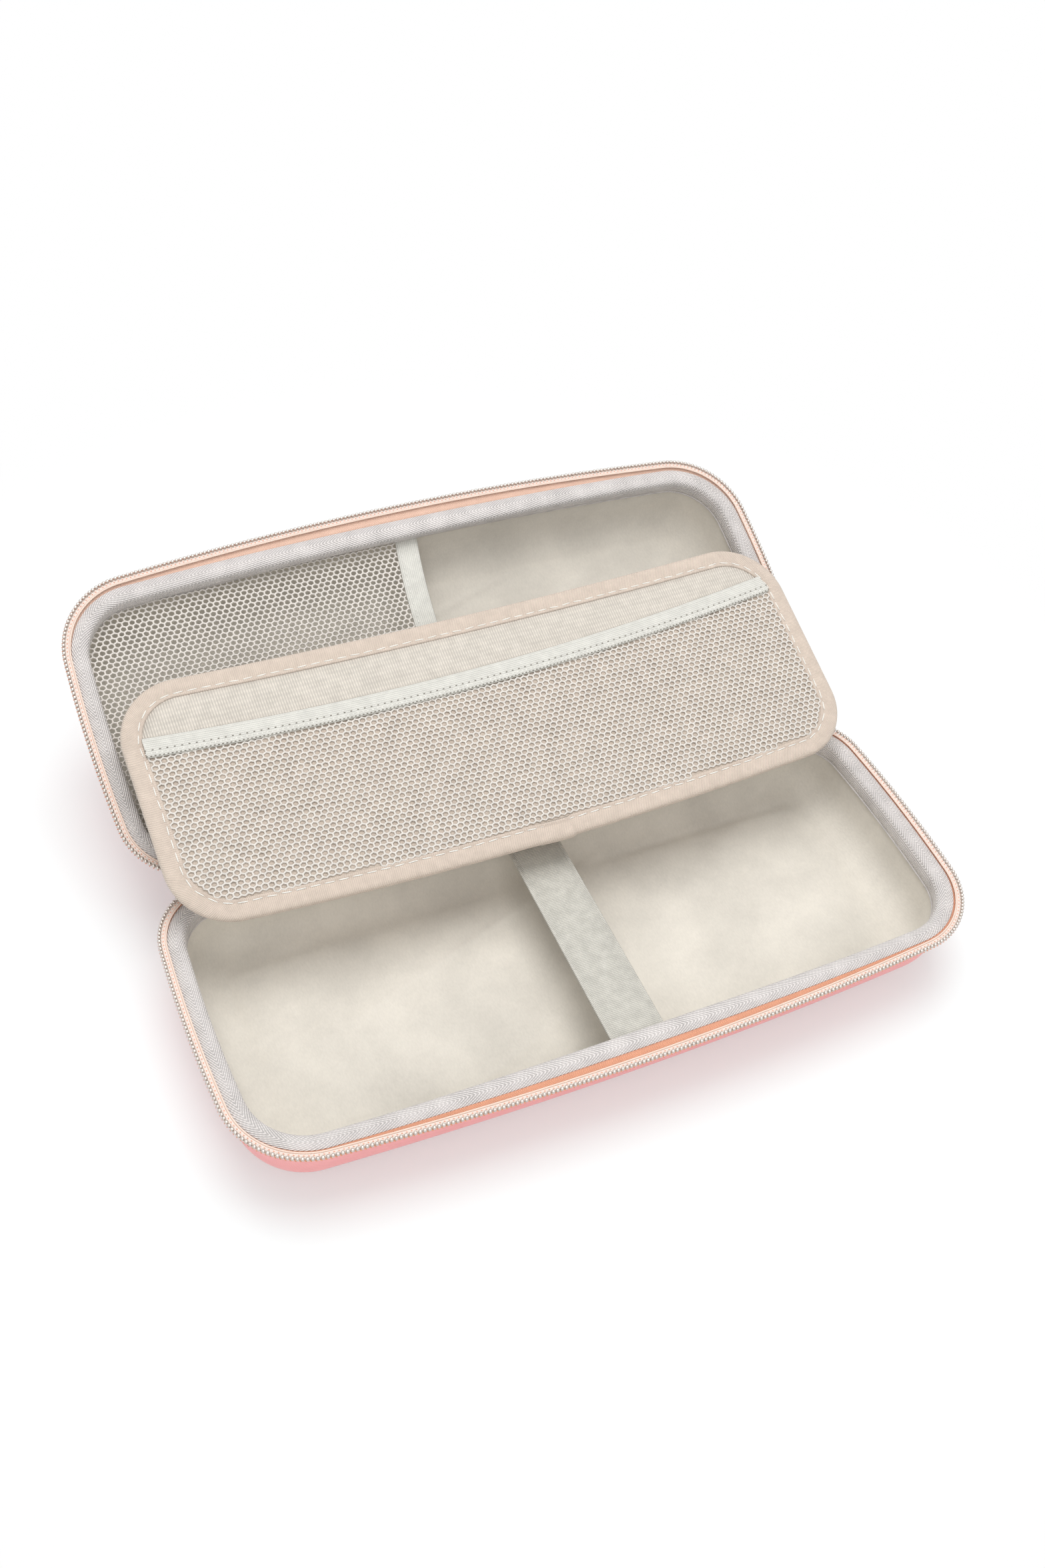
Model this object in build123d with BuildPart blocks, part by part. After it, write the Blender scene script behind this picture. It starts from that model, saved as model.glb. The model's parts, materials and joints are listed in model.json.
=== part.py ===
"""Hard zip case for a stethoscope: two moulded halves joined along one long side, a zip
round the other three, a lined inside, a pocket in the lid, an elastic strap in the base
and a stiffened divider with a net pocket that turns with the lid.

Millimetres.  The origin is the centre of the base's flat underside, +X runs along the
case, +Y points to the hinge side and +Z is up.  The case is shown open.
"""
from math import atan2, cos, degrees, radians, sin, tan
from build123d import *
import os

# ---- driving dimensions -------------------------------------------------------------
LENGTH = 290.0              # over the zip, at the middle of the ends
WIDTH = 125.0               # hinge side to the middle of the bowed long side
HALF_HEIGHT = 32.0          # each half, underside to parting plane
FRONT_BOW = 8.2             # how far the long free side bulges at its middle
SIDE_BOW = 3.7              # the same for the two ends
FRONT_RADIUS = 31.0         # corners on the free side
BACK_RADIUS = 26.0          # corners on the hinge side
SHELL_DRAWN_IN = 2.5        # the shell bulges this much less than the zip does
OPEN_ANGLE = 156.5          # lid, from closed to the pose shown

DRAFT = 10.0                # lean of the moulded walls, degrees
EDGE_RADIUS = 16.0          # rounding between wall and underside
SHELL_INSET = 2.5           # shell's outer face, in from the outline at the rim
SHELL_WALL = 3.2            # pressed foam with its covering
LINING = 1.4                # pile lining
RIM_TAPE = 0.8              # herringbone tape over the seam
RIM_TAPE_DEPTH = 9.5        # how far it runs down the inner wall
RIM_TAPE_EDGE = 4.0         # its outer edge, in from the outline
RIM_DROP = 2.1              # tape's top, below the parting plane
TAPE = 0.6                  # zip tape

CHAIN_WIDTH = 3.2           # row of teeth, seen from above
CHAIN_TOP = 0.3             # teeth, below the parting plane
TOOTH_PITCH = 3.6
TOOTH_WIDTH = 1.9
CHAIN_END = 108.0           # the teeth stop this far from the middle of the hinge side
STOP_LENGTH = 2.6           # clip at the chain's end

HINGE_GAP = 0.8             # hinge line to the back edge of each half's outline
SPINE_LENGTH = 208.0

DIVIDER_LENGTH = 273.5
DIVIDER_WIDTH = 97.4
DIVIDER_NEAR_BOW = 5.5      # long edge on the hinge side, bulging
DIVIDER_FAR_BOW = 3.2       # other long edge, hollow
DIVIDER_RADIUS = 24.0
DIVIDER_SLOPE = 18.04       # in the pose shown
DIVIDER_OVERHANG = 31.4     # its near edge, in front of the outline's back edge
DIVIDER_RISE = 5.4          # and above the parting plane
DIVIDER_X = 1.4             # its middle, along the case
PIVOT_Y = -21.8             # line it turns about: from the outline's back edge
PIVOT_Z = 4.15              # and above the parting plane
BINDING_WIDTH = 7.5
BINDING = 3.4               # over both sides
BOARD = 1.6
FACING = 0.4
BOARD_INSET = 3.5           # board's edge, inside the binding
FACING_INSET = 1.2
BINDING_ROUND = 1.3

NET_PITCH = 12.0            # centre to centre of the holes
NET_THREAD = 2.4
NET = 0.5
NET_GAP = 0.2               # net stands off the facing
BAND = 0.8                  # elastic band along the net's free edge
BAND_WIDTH = 7.8
BAND_ENDS = (79.2, 84.3)    # its far edge, from the divider's near edge: left and right end
BAND_LOW = 73.4             # and where it sags most
BAND_LOW_X = -30.0

POCKET_DEPTH = 8.6          # lid pocket's net, below the parting plane
POCKET_X = -3.2             # its free edge, at the band's ends
POCKET_DRAWN_IN = 7.0       # the band pulls the middle of that edge in
POCKET_BAND_WIDTH = 9.4
POCKET_BAND = 1.0

STRAP_WIDTH = 21.0
STRAP = 1.2
STRAP_X = -1.2
STRAP_FRONT_DEPTH = 5.5     # its ends, sewn to the turned-down tape
STRAP_BACK_DEPTH = 8.8

SLIDER_X = 109.0            # sliders hang behind the base, at the ends of the hinge side
SLIDER_WIDTH = 7.0
SLIDER_HEIGHT = 5.5
SLIDER_TOP = 4.8            # below the parting plane
SLIDER_PLATE = 0.8
SLIDER_NECK = 1.4           # between the two plates
ROD_RADIUS = 0.6
EYE_RADIUS = 1.4
PULL_LENGTH = 15.0
PULL_WIDTH = 5.5
PULL = 1.2

# ---- planes -------------------------------------------------------------------------
hinge_y = WIDTH / 2 + HINGE_GAP
hinge_z = HALF_HEIGHT
lean = radians(180.0 - OPEN_ANGLE)
slope = radians(DIVIDER_SLOPE)

# Each half is drawn in its mouth plane: x along the case, y away from the hinge, z into
# the half.
base_mouth = Plane(origin=(0, hinge_y, hinge_z), x_dir=(1, 0, 0), z_dir=(0, 0, -1))
lid_mouth = Plane(origin=(0, hinge_y, hinge_z), x_dir=(-1, 0, 0),
                  z_dir=(0, sin(lean), -cos(lean)))
# The divider is drawn with y from its near edge to its far one and z out of its net side.
divider_plane = Plane(
    origin=(DIVIDER_X, WIDTH / 2 - DIVIDER_OVERHANG, HALF_HEIGHT + DIVIDER_RISE),
    x_dir=(1, 0, 0), z_dir=(0, -sin(slope), cos(slope)))

os.makedirs("parts", exist_ok=True)


def save(builder, name):
    builder.part.label = name
    export_step(builder.part, f"parts/{name}.step")


def arc_radius(half_chord, bow):
    return (half_chord ** 2 + bow ** 2) / (2 * bow)


def case_outline(inset=0.0, drawn_in=0.0):
    """Outline of a half: straight on the hinge side, bowed on the other three."""
    back = HINGE_GAP
    front = HINGE_GAP + WIDTH - drawn_in
    middle = HINGE_GAP + WIDTH / 2
    front_arc = arc_radius(LENGTH / 2, FRONT_BOW - drawn_in)
    end_arc = arc_radius(WIDTH / 2, SIDE_BOW)
    with BuildSketch(mode=Mode.PRIVATE) as outline:
        with Locations((0, back + inset)):
            Rectangle(2 * LENGTH, 2 * WIDTH, align=(Align.CENTER, Align.MIN))
        with Locations((0, front - front_arc)):
            Circle(front_arc - inset, mode=Mode.INTERSECT)
        for side in (-1, 1):
            with Locations((side * (LENGTH / 2 - end_arc), middle)):
                Circle(end_arc - inset, mode=Mode.INTERSECT)
        fillet(outline.vertices().group_by(Axis.Y)[0], BACK_RADIUS - inset)
        fillet(outline.vertices().group_by(Axis.Y)[-1], FRONT_RADIUS - inset)
    return outline.sketch


def tub(mouth, inset, top, floor, radius=0.0):
    """Fill a half from one depth to another, with drafted walls and a rounded floor edge."""
    with BuildPart() as solid:
        for depth in (top, floor):
            with BuildSketch(mouth.offset(depth)):
                add(case_outline(inset + depth * tan(radians(DRAFT)), SHELL_DRAWN_IN))
        loft(ruled=True)
        if radius:
            fillet(solid.faces().sort_by(Axis(mouth.origin, mouth.z_dir))[-1].edges(), radius)
    return solid.part


def chain_places(inset):
    """Places along the outline, one tooth pitch apart, outside the hinge stretch."""
    path = case_outline(inset).faces()[0].outer_wire()
    count = round(path.length / TOOTH_PITCH)
    places = []
    for step in range(count):
        point = path.position_at(step / count)
        along = path.tangent_at(step / count)
        if point.Y < BACK_RADIUS and abs(point.X) < CHAIN_END + TOOTH_WIDTH / 2:
            continue
        places.append(Location((point.X, point.Y, 0), (0, 0, degrees(atan2(along.Y, along.X)))))
    return places


def hinge_stretch(half_length):
    """Area of the hinge side that the zip leaves free."""
    return Rectangle(2 * half_length, 40, align=(Align.CENTER, Align.CENTER), mode=Mode.SUBTRACT)


# ---- depths of the layers at the rim, measured from the parting plane ------------------
tape_top = RIM_DROP                     # herringbone tape
zip_tape_top = tape_top + RIM_TAPE      # zip tape under it
shell_top = zip_tape_top + TAPE         # shell and lining under both
lining_inset = SHELL_INSET + SHELL_WALL
inner_inset = lining_inset + LINING
tape_inner_inset = inner_inset + RIM_TAPE
inner_floor = HALF_HEIGHT - SHELL_WALL - LINING
inner_radius = EDGE_RADIUS - SHELL_WALL - LINING


def make_shell(mouth, name):
    outside = tub(mouth, SHELL_INSET, shell_top, HALF_HEIGHT, EDGE_RADIUS)
    inside = tub(mouth, lining_inset, shell_top, HALF_HEIGHT - SHELL_WALL,
                 EDGE_RADIUS - SHELL_WALL)
    with BuildPart() as shell:
        add(outside)
        add(inside, mode=Mode.SUBTRACT)
    save(shell, name)


def make_lining(mouth, name):
    outside = tub(mouth, lining_inset, shell_top, HALF_HEIGHT - SHELL_WALL,
                  EDGE_RADIUS - SHELL_WALL)
    inside = tub(mouth, inner_inset, shell_top, inner_floor, inner_radius)
    with BuildPart() as lining:
        add(outside)
        add(inside, mode=Mode.SUBTRACT)
    save(lining, name)


def make_rim_tape(mouth, name):
    """Herringbone tape: a flange over the seam that turns down the inner wall."""
    turned_down = tub(mouth, inner_inset, zip_tape_top, RIM_TAPE_DEPTH)
    inside = tub(mouth, tape_inner_inset, tape_top - 1, RIM_TAPE_DEPTH + 1)
    with BuildPart() as tape:
        with BuildSketch(mouth.offset(tape_top)):
            add(case_outline(RIM_TAPE_EDGE, SHELL_DRAWN_IN))
        extrude(amount=RIM_TAPE)
        add(turned_down)
        add(inside, mode=Mode.SUBTRACT)
    save(tape, name)


def make_zip_tape(mouth, name):
    with BuildPart() as tape:
        with BuildSketch(mouth.offset(zip_tape_top)):
            add(case_outline(0.3))
            add(case_outline(inner_inset, SHELL_DRAWN_IN), mode=Mode.SUBTRACT)
            hinge_stretch(SPINE_LENGTH / 2)
        extrude(amount=TAPE)
    save(tape, name)


def make_teeth(mouth, name):
    """Row of teeth standing on a cord that is woven into the zip tape's edge."""
    cord_top = zip_tape_top - 0.5
    with BuildPart() as teeth:
        with BuildSketch(mouth.offset(cord_top)):
            add(case_outline(0.3))
            add(case_outline(CHAIN_WIDTH), mode=Mode.SUBTRACT)
            hinge_stretch(CHAIN_END)
        extrude(amount=zip_tape_top - cord_top)
        with BuildSketch(mouth.offset(CHAIN_TOP)):
            with Locations(*chain_places(CHAIN_WIDTH / 2 + 0.1)):
                Trapezoid(TOOTH_WIDTH, CHAIN_WIDTH - 0.6, 80)
        extrude(amount=cord_top - CHAIN_TOP)
    save(teeth, name)


def make_spine_half(mouth, name):
    """Strip sewn to the back of a half, running out to the hinge line."""
    along_x = Plane(origin=mouth.origin - mouth.x_dir * SPINE_LENGTH / 2,
                    x_dir=mouth.y_dir, z_dir=mouth.x_dir)
    with BuildPart() as strip:
        with BuildSketch(along_x):
            with BuildLine():
                Polyline((HINGE_GAP + inner_inset, zip_tape_top), (HINGE_GAP + 2.0, zip_tape_top),
                         (0.9, CHAIN_TOP), (0.25, CHAIN_TOP), (0.25, CHAIN_TOP + TAPE),
                         (HINGE_GAP + 1.6, shell_top), (HINGE_GAP + inner_inset, shell_top),
                         close=True)
            make_face()
        extrude(amount=SPINE_LENGTH)
    save(strip, name)


def make_end_stop(mouth, side, name):
    """Metal clip over the last tooth, where the chain meets the spine."""
    with BuildPart() as stop:
        with BuildSketch(mouth.offset(CHAIN_TOP)):
            with Locations((side * (CHAIN_END - STOP_LENGTH / 2 - 0.4), HINGE_GAP + 1.9)):
                RectangleRounded(STOP_LENGTH, CHAIN_WIDTH, 0.6)
        extrude(amount=zip_tape_top - CHAIN_TOP)
    save(stop, name)


for half, mouth in (("base", base_mouth), ("lid", lid_mouth)):
    make_shell(mouth, f"{half}_shell")
    make_lining(mouth, f"{half}_lining")
    make_rim_tape(mouth, f"{half}_rim_tape")
    make_zip_tape(mouth, f"{half}_zip_tape")
    make_teeth(mouth, f"{half}_zip_teeth")
    make_spine_half(mouth, f"spine_{half}_half")
    for side, hand in ((-1, "left"), (1, "right")):
        make_end_stop(mouth, side * mouth.x_dir.X, f"{half}_zip_stop_{hand}")


# ---- divider ------------------------------------------------------------------------
def divider_outline(inset=0.0):
    """Near edge bulging, far edge hollow, rounded ends."""
    near_arc = arc_radius(DIVIDER_LENGTH / 2, DIVIDER_NEAR_BOW)
    far_arc = arc_radius(DIVIDER_LENGTH / 2, DIVIDER_FAR_BOW)
    with BuildSketch(mode=Mode.PRIVATE) as outline:
        with Locations((0, DIVIDER_WIDTH / 2)):
            Rectangle(DIVIDER_LENGTH - 2 * inset, 2 * DIVIDER_WIDTH)
        with Locations((0, near_arc)):
            Circle(near_arc - inset, mode=Mode.INTERSECT)
        with Locations((0, DIVIDER_WIDTH + far_arc)):
            Circle(far_arc + inset, mode=Mode.SUBTRACT)
        fillet(outline.vertices(), DIVIDER_RADIUS - inset)
    return outline.sketch


def divider_sheet(name, low, high, inset):
    with BuildPart() as sheet:
        with BuildSketch(divider_plane.offset(low)):
            add(divider_outline(inset))
        extrude(amount=high - low)
    save(sheet, name)


divider_sheet("divider_board", -BOARD / 2, BOARD / 2, BOARD_INSET)
divider_sheet("divider_facing", BOARD / 2, BOARD / 2 + FACING, FACING_INSET)
divider_sheet("divider_backing", -BOARD / 2 - FACING, -BOARD / 2, FACING_INSET)

with BuildPart() as divider_binding:
    with BuildSketch(divider_plane.offset(-BINDING / 2)):
        add(divider_outline())
    extrude(amount=BINDING)
    fillet(divider_binding.edges().filter_by(lambda edge: edge.length > 1.01 * BINDING), BINDING_ROUND)
    with BuildSketch(divider_plane.offset(-BINDING / 2)):
        add(divider_outline(BINDING_WIDTH))
    extrude(amount=BINDING, mode=Mode.SUBTRACT)
    with BuildSketch(divider_plane.offset(-BOARD / 2 - FACING)):
        add(divider_outline(FACING_INSET))
    extrude(amount=BOARD + 2 * FACING, mode=Mode.SUBTRACT)
save(divider_binding, "divider_binding")


def hole_places(area):
    """Centres of the net's holes that fall wholly inside an area."""
    box = area.bounding_box()
    row_height = NET_PITCH * sin(radians(60))
    rows = int(box.size.Y / row_height) + 2
    columns = int(box.size.X / NET_PITCH) + 2
    places = []
    for row in range(-rows, rows):
        for column in range(-columns, columns):
            centre = Vector((column + 0.5 * (row % 2)) * NET_PITCH, row * row_height)
            if area.faces()[0].is_inside(centre):
                places.append((centre.X, centre.Y))
    return places


HOLE_RADIUS = (NET_PITCH - NET_THREAD) / 2 / cos(radians(30))
HOLE_MARGIN = HOLE_RADIUS + NET_THREAD / 2


def band_arc(shift=0.0):
    """The divider band's far edge, or a line parallel to it nearer the hinge side."""
    half = DIVIDER_LENGTH / 2
    return ThreePointArc((-half, BAND_ENDS[0] - shift), (BAND_LOW_X, BAND_LOW - shift),
                         (half, BAND_ENDS[1] - shift))


def below_band(shift=0.0):
    """The divider's area on the hinge side of the band's far edge."""
    half = DIVIDER_LENGTH / 2
    with BuildSketch(mode=Mode.PRIVATE) as area:
        with BuildLine():
            band_arc(shift)
            Polyline((half, BAND_ENDS[1] - shift), (half, -10), (-half, -10),
                     (-half, BAND_ENDS[0] - shift))
        make_face()
    return area.sketch


net_low = BOARD / 2 + FACING + NET_GAP
with BuildSketch(mode=Mode.PRIVATE) as net_room:
    add(divider_outline(BINDING_WIDTH + HOLE_MARGIN))
    add(below_band(BAND_WIDTH + HOLE_MARGIN), mode=Mode.INTERSECT)
net_holes = hole_places(net_room.sketch)
with BuildPart() as divider_net:
    with BuildSketch(divider_plane.offset(net_low)):
        add(divider_outline(BINDING_WIDTH))
        add(below_band(1.0), mode=Mode.INTERSECT)
        with Locations(*net_holes):
            RegularPolygon(HOLE_RADIUS, 6, rotation=30, mode=Mode.SUBTRACT)
    extrude(amount=NET)
save(divider_net, "divider_net")

with BuildPart() as divider_band:
    with BuildSketch(divider_plane.offset(net_low + NET)):
        add(divider_outline(BINDING_WIDTH))
        add(below_band(), mode=Mode.INTERSECT)
        add(below_band(BAND_WIDTH), mode=Mode.SUBTRACT)
    extrude(amount=BAND)
save(divider_band, "divider_band")

# ---- fabric strip that carries the divider --------------------------------------------
# One half is sewn over the base's hinge-side rim and rises to the line the divider turns
# about.  The other runs from there to the divider's underside.
STRIP_LENGTH = 190.0
STRIP = 0.6
rim_y = WIDTH / 2
rim_top = HALF_HEIGHT - RIM_DROP
pivot_y = WIDTH / 2 + PIVOT_Y
pivot_z = HALF_HEIGHT + PIVOT_Z
across_case = Plane(origin=(-STRIP_LENGTH / 2, 0, 0), x_dir=(0, 1, 0), z_dir=(1, 0, 0))
with BuildPart() as divider_strip_base:
    with BuildSketch(across_case):
        with BuildLine():
            Polyline((rim_y - 5.0, rim_top), (rim_y - 8.2, rim_top), (rim_y - 11.8, pivot_z - 0.6),
                     (pivot_y + 0.6, pivot_z + 0.5), (pivot_y + 0.6, pivot_z + 0.5 + STRIP),
                     (rim_y - 11.2, pivot_z + 0.1), (rim_y - 8.0, rim_top + STRIP),
                     (rim_y - 5.0, rim_top + STRIP), close=True)
        make_face()
    extrude(amount=STRIP_LENGTH)
save(divider_strip_base, "divider_strip_base")

along_divider = Plane(origin=divider_plane.origin - Vector(DIVIDER_X + STRIP_LENGTH / 2, 0, 0),
                      x_dir=divider_plane.y_dir, z_dir=(1, 0, 0))
with BuildPart() as divider_strip_panel:
    with BuildSketch(along_divider):
        with BuildLine():
            Polyline((8.5, -3.5), (8.5, -4.15), (7.9, -4.15), (3.6, -BINDING / 2),
                     (5.0, -BINDING / 2), close=True)
        make_face()
    extrude(amount=STRIP_LENGTH)
save(divider_strip_panel, "divider_strip_panel")

# ---- elastic strap across the base ----------------------------------------------------
strap_side = Plane(origin=base_mouth.origin + Vector(STRAP_X - STRAP_WIDTH / 2, 0, 0),
                   x_dir=base_mouth.y_dir, z_dir=base_mouth.x_dir)
base_cavity = tub(base_mouth, tape_inner_inset, tape_top, RIM_TAPE_DEPTH + 5)
with BuildPart() as elastic_strap:
    with BuildSketch(strap_side):
        with BuildLine():
            Polyline((0, STRAP_BACK_DEPTH - STRAP / 2), (WIDTH, STRAP_FRONT_DEPTH - STRAP / 2),
                     (WIDTH, STRAP_FRONT_DEPTH + STRAP / 2), (0, STRAP_BACK_DEPTH + STRAP / 2),
                     close=True)
        make_face()
    extrude(amount=STRAP_WIDTH)
    add(base_cavity, mode=Mode.INTERSECT)
save(elastic_strap, "elastic_strap")

# ---- net pocket in the lid ------------------------------------------------------------
pocket_inset = tape_inner_inset + (POCKET_DEPTH + NET) * tan(radians(DRAFT))


def left_of_band(shift=0.0):
    """The lid's left part, up to the band's outer edge or a line parallel to it."""
    edge = -POCKET_X - POCKET_BAND_WIDTH + shift
    with BuildSketch(mode=Mode.PRIVATE) as area:
        with BuildLine():
            ThreePointArc((edge, HINGE_GAP), (edge + POCKET_DRAWN_IN, HINGE_GAP + WIDTH / 2),
                          (edge, HINGE_GAP + WIDTH))
            Polyline((edge, HINGE_GAP + WIDTH), (LENGTH, HINGE_GAP + WIDTH),
                     (LENGTH, HINGE_GAP), (edge, HINGE_GAP))
        make_face()
    return area.sketch


with BuildSketch(mode=Mode.PRIVATE) as pocket_room:
    add(case_outline(pocket_inset + HOLE_MARGIN, SHELL_DRAWN_IN))
    add(left_of_band(POCKET_BAND_WIDTH + HOLE_MARGIN), mode=Mode.INTERSECT)
pocket_holes = hole_places(pocket_room.sketch)
with BuildPart() as lid_pocket_net:
    with BuildSketch(lid_mouth.offset(POCKET_DEPTH)):
        add(case_outline(pocket_inset, SHELL_DRAWN_IN))
        add(left_of_band(1.0), mode=Mode.INTERSECT)
        with Locations(*pocket_holes):
            RegularPolygon(HOLE_RADIUS, 6, rotation=30, mode=Mode.SUBTRACT)
    extrude(amount=NET)
save(lid_pocket_net, "lid_pocket_net")

with BuildPart() as lid_pocket_band:
    with BuildSketch(lid_mouth.offset(POCKET_DEPTH - POCKET_BAND)):
        add(case_outline(pocket_inset, SHELL_DRAWN_IN))
        add(left_of_band(), mode=Mode.INTERSECT)
        add(left_of_band(POCKET_BAND_WIDTH), mode=Mode.SUBTRACT)
    extrude(amount=POCKET_BAND)
save(lid_pocket_band, "lid_pocket_band")

# ---- sliders and their pulls ----------------------------------------------------------
# Seen from behind the base: sketches with x along the case and y up, growing backwards.
tail_front = WIDTH / 2 - 2.2
tail_back = tail_front + SLIDER_PLATE
slider_mid_z = HALF_HEIGHT - SLIDER_TOP - SLIDER_HEIGHT / 2
rod_y = tail_back + 2 * SLIDER_PLATE + SLIDER_NECK + EYE_RADIUS + 0.3
rod_z = slider_mid_z - 0.9


def behind(y):
    return Plane(origin=(0, y, 0), x_dir=(-1, 0, 0), z_dir=(0, 1, 0))


for side, hand in ((-1, "left"), (1, "right")):
    middle = side * SLIDER_X
    tail_height = SLIDER_TOP + SLIDER_HEIGHT - shell_top
    with BuildPart() as tail:
        with BuildSketch(behind(tail_front)):
            with Locations((-middle, HALF_HEIGHT - shell_top)):
                Rectangle(SLIDER_WIDTH - 1, tail_height, align=(Align.CENTER, Align.MAX))
        extrude(amount=SLIDER_PLATE)
    save(tail, f"zip_tail_{hand}")

    with BuildPart() as slider:
        for start in (tail_back, tail_back + SLIDER_PLATE + SLIDER_NECK):
            with BuildSketch(behind(start)):
                with Locations((-middle, slider_mid_z)):
                    RectangleRounded(SLIDER_WIDTH, SLIDER_HEIGHT, 1.4)
            extrude(amount=SLIDER_PLATE)
        with BuildSketch(behind(tail_back)):
            with Locations((-middle, slider_mid_z)):
                SlotOverall(2.6, 1.8, rotation=90)
        extrude(amount=2 * SLIDER_PLATE + SLIDER_NECK)
        for lug in (-1, 1):
            lug_plane = Plane(origin=(middle + lug * 2.6, 0, 0), x_dir=(0, 1, 0), z_dir=(1, 0, 0))
            with BuildSketch(lug_plane):
                with Locations((rod_y, rod_z)):
                    Circle(1.1)
                with Locations((rod_y - 1.0, rod_z)):
                    Rectangle(2.0, 2.2)
            extrude(amount=0.4, both=True)
        with BuildSketch(Plane(origin=(middle, 0, 0), x_dir=(0, 1, 0), z_dir=(1, 0, 0))):
            with Locations((rod_y, rod_z)):
                Circle(ROD_RADIUS)
        extrude(amount=2.6, both=True)
    save(slider, f"slider_{hand}")

    with BuildPart() as pull:
        with BuildSketch(behind(rod_y - PULL / 2)):
            with Locations((-middle, rod_z - EYE_RADIUS + 0.3)):
                Rectangle(3.2, 4.0, align=(Align.CENTER, Align.MAX))
            with Locations((-middle, rod_z - EYE_RADIUS - 2.5)):
                Rectangle(PULL_WIDTH, PULL_LENGTH - 2.5, align=(Align.CENTER, Align.MAX))
        extrude(amount=PULL)
        with BuildSketch(Plane(origin=(middle, 0, 0), x_dir=(0, 1, 0), z_dir=(1, 0, 0))):
            with Locations((rod_y, rod_z)):
                Circle(EYE_RADIUS)
        extrude(amount=1.6, both=True)
        with BuildSketch(Plane(origin=(middle, 0, 0), x_dir=(0, 1, 0), z_dir=(1, 0, 0))):
            with Locations((rod_y, rod_z)):
                Circle(ROD_RADIUS + 0.2)
        extrude(amount=1.6, both=True, mode=Mode.SUBTRACT)
    save(pull, f"pull_{hand}")
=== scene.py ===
"""Looks for a hard zip case made to carry a stethoscope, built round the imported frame.

The case is two pressed foam halves covered in salmon cloth.  A bead-toothed zip runs round
three sides, a herringbone tape hides the seam inside each rim, the inside is lined with
velvet, and a stiffened divider with a bound edge and a net pocket stands half way up.
Sizes are metres in the row frame.
"""
import json
import math

import bmesh
import bpy
from mathutils import Matrix, Vector, noise


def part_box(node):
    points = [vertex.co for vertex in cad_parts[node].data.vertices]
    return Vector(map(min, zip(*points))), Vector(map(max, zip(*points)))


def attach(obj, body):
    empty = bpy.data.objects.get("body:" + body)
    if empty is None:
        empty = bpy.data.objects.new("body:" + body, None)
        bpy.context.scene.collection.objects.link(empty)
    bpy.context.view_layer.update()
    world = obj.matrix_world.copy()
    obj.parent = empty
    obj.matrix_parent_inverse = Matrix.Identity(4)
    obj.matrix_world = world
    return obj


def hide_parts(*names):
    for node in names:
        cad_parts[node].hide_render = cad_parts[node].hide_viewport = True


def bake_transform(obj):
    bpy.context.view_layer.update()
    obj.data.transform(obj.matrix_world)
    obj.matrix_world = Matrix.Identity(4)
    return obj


bl_info = {
    "name": "Stethoscope Case",
    "version": (1, 0, 0),
    "blender": (4, 5, 0),
    "location": "View3D > Sidebar > Case",
    "description": "Builds a hard zip case with its tapes, nets, stitching and lining",
    "category": "Add Mesh",
}

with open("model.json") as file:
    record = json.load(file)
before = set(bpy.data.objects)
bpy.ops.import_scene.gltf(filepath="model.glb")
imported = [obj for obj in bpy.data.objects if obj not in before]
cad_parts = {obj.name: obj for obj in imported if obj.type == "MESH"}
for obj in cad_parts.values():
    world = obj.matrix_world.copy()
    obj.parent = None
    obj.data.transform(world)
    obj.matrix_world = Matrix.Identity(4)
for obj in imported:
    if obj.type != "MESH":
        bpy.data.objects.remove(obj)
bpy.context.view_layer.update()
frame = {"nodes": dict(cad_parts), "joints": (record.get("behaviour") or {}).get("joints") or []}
JOINTS = {joint["name"]: joint for joint in frame["joints"]}
MM = 0.001

# ---- sizes that follow the frame ------------------------------------------------------
LENGTH = 290.0 * MM             # over the zip
WIDTH = 125.0 * MM
HALF_HEIGHT = 32.0 * MM
FRONT_BOW = 8.2 * MM
SIDE_BOW = 3.7 * MM
FRONT_RADIUS = 31.0 * MM
BACK_RADIUS = 26.0 * MM
SHELL_DRAWN_IN = 2.5 * MM       # the shell bulges this much less than the zip
DRAFT = math.radians(10.0)
EDGE_RADIUS = 16.0 * MM
SHELL_INSET = 2.5 * MM
SHELL_WALL = 3.2 * MM
LINING = 1.4 * MM
RIM_DROP = 2.1 * MM             # tape's top, below the parting plane
RIM_TAPE_EDGE = 4.0 * MM
RIM_TAPE_DEPTH = 9.5 * MM
HINGE_GAP = 0.8 * MM
CHAIN_END = 108.0 * MM
CHAIN_WIDTH = 3.2 * MM

HINGE = Vector(JOINTS["lid_hinge"]["pos_m"])
LEAN = math.pi - math.radians(JOINTS["lid_hinge"]["range_deg"][1])
INNER_INSET = SHELL_INSET + SHELL_WALL + LINING
INNER_FLOOR = HALF_HEIGHT - SHELL_WALL - LINING
TAPE_INSET = INNER_INSET + 0.8 * MM

DIVIDER_LENGTH = 273.5 * MM
DIVIDER_WIDTH = 97.4 * MM
DIVIDER_NEAR_BOW = 5.5 * MM
DIVIDER_FAR_BOW = 3.2 * MM
DIVIDER_RADIUS = 24.0 * MM
DIVIDER_SLOPE = math.radians(18.04)
DIVIDER_PLACE = Vector((1.4, 31.1, 37.4)) * MM     # middle of its near edge
BINDING_WIDTH = 7.5 * MM
BINDING = 3.4 * MM
BOARD = 1.6 * MM
FACING = 0.4 * MM

STEP = 1.6 * MM                 # spacing of sections along a path


def mouth(along, into):
    """Half's own space to the row frame: x along the case, y off the hinge, z into the half."""
    matrix = Matrix((along, into.cross(along), into)).transposed().to_4x4()
    matrix.translation = HINGE
    return matrix


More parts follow.
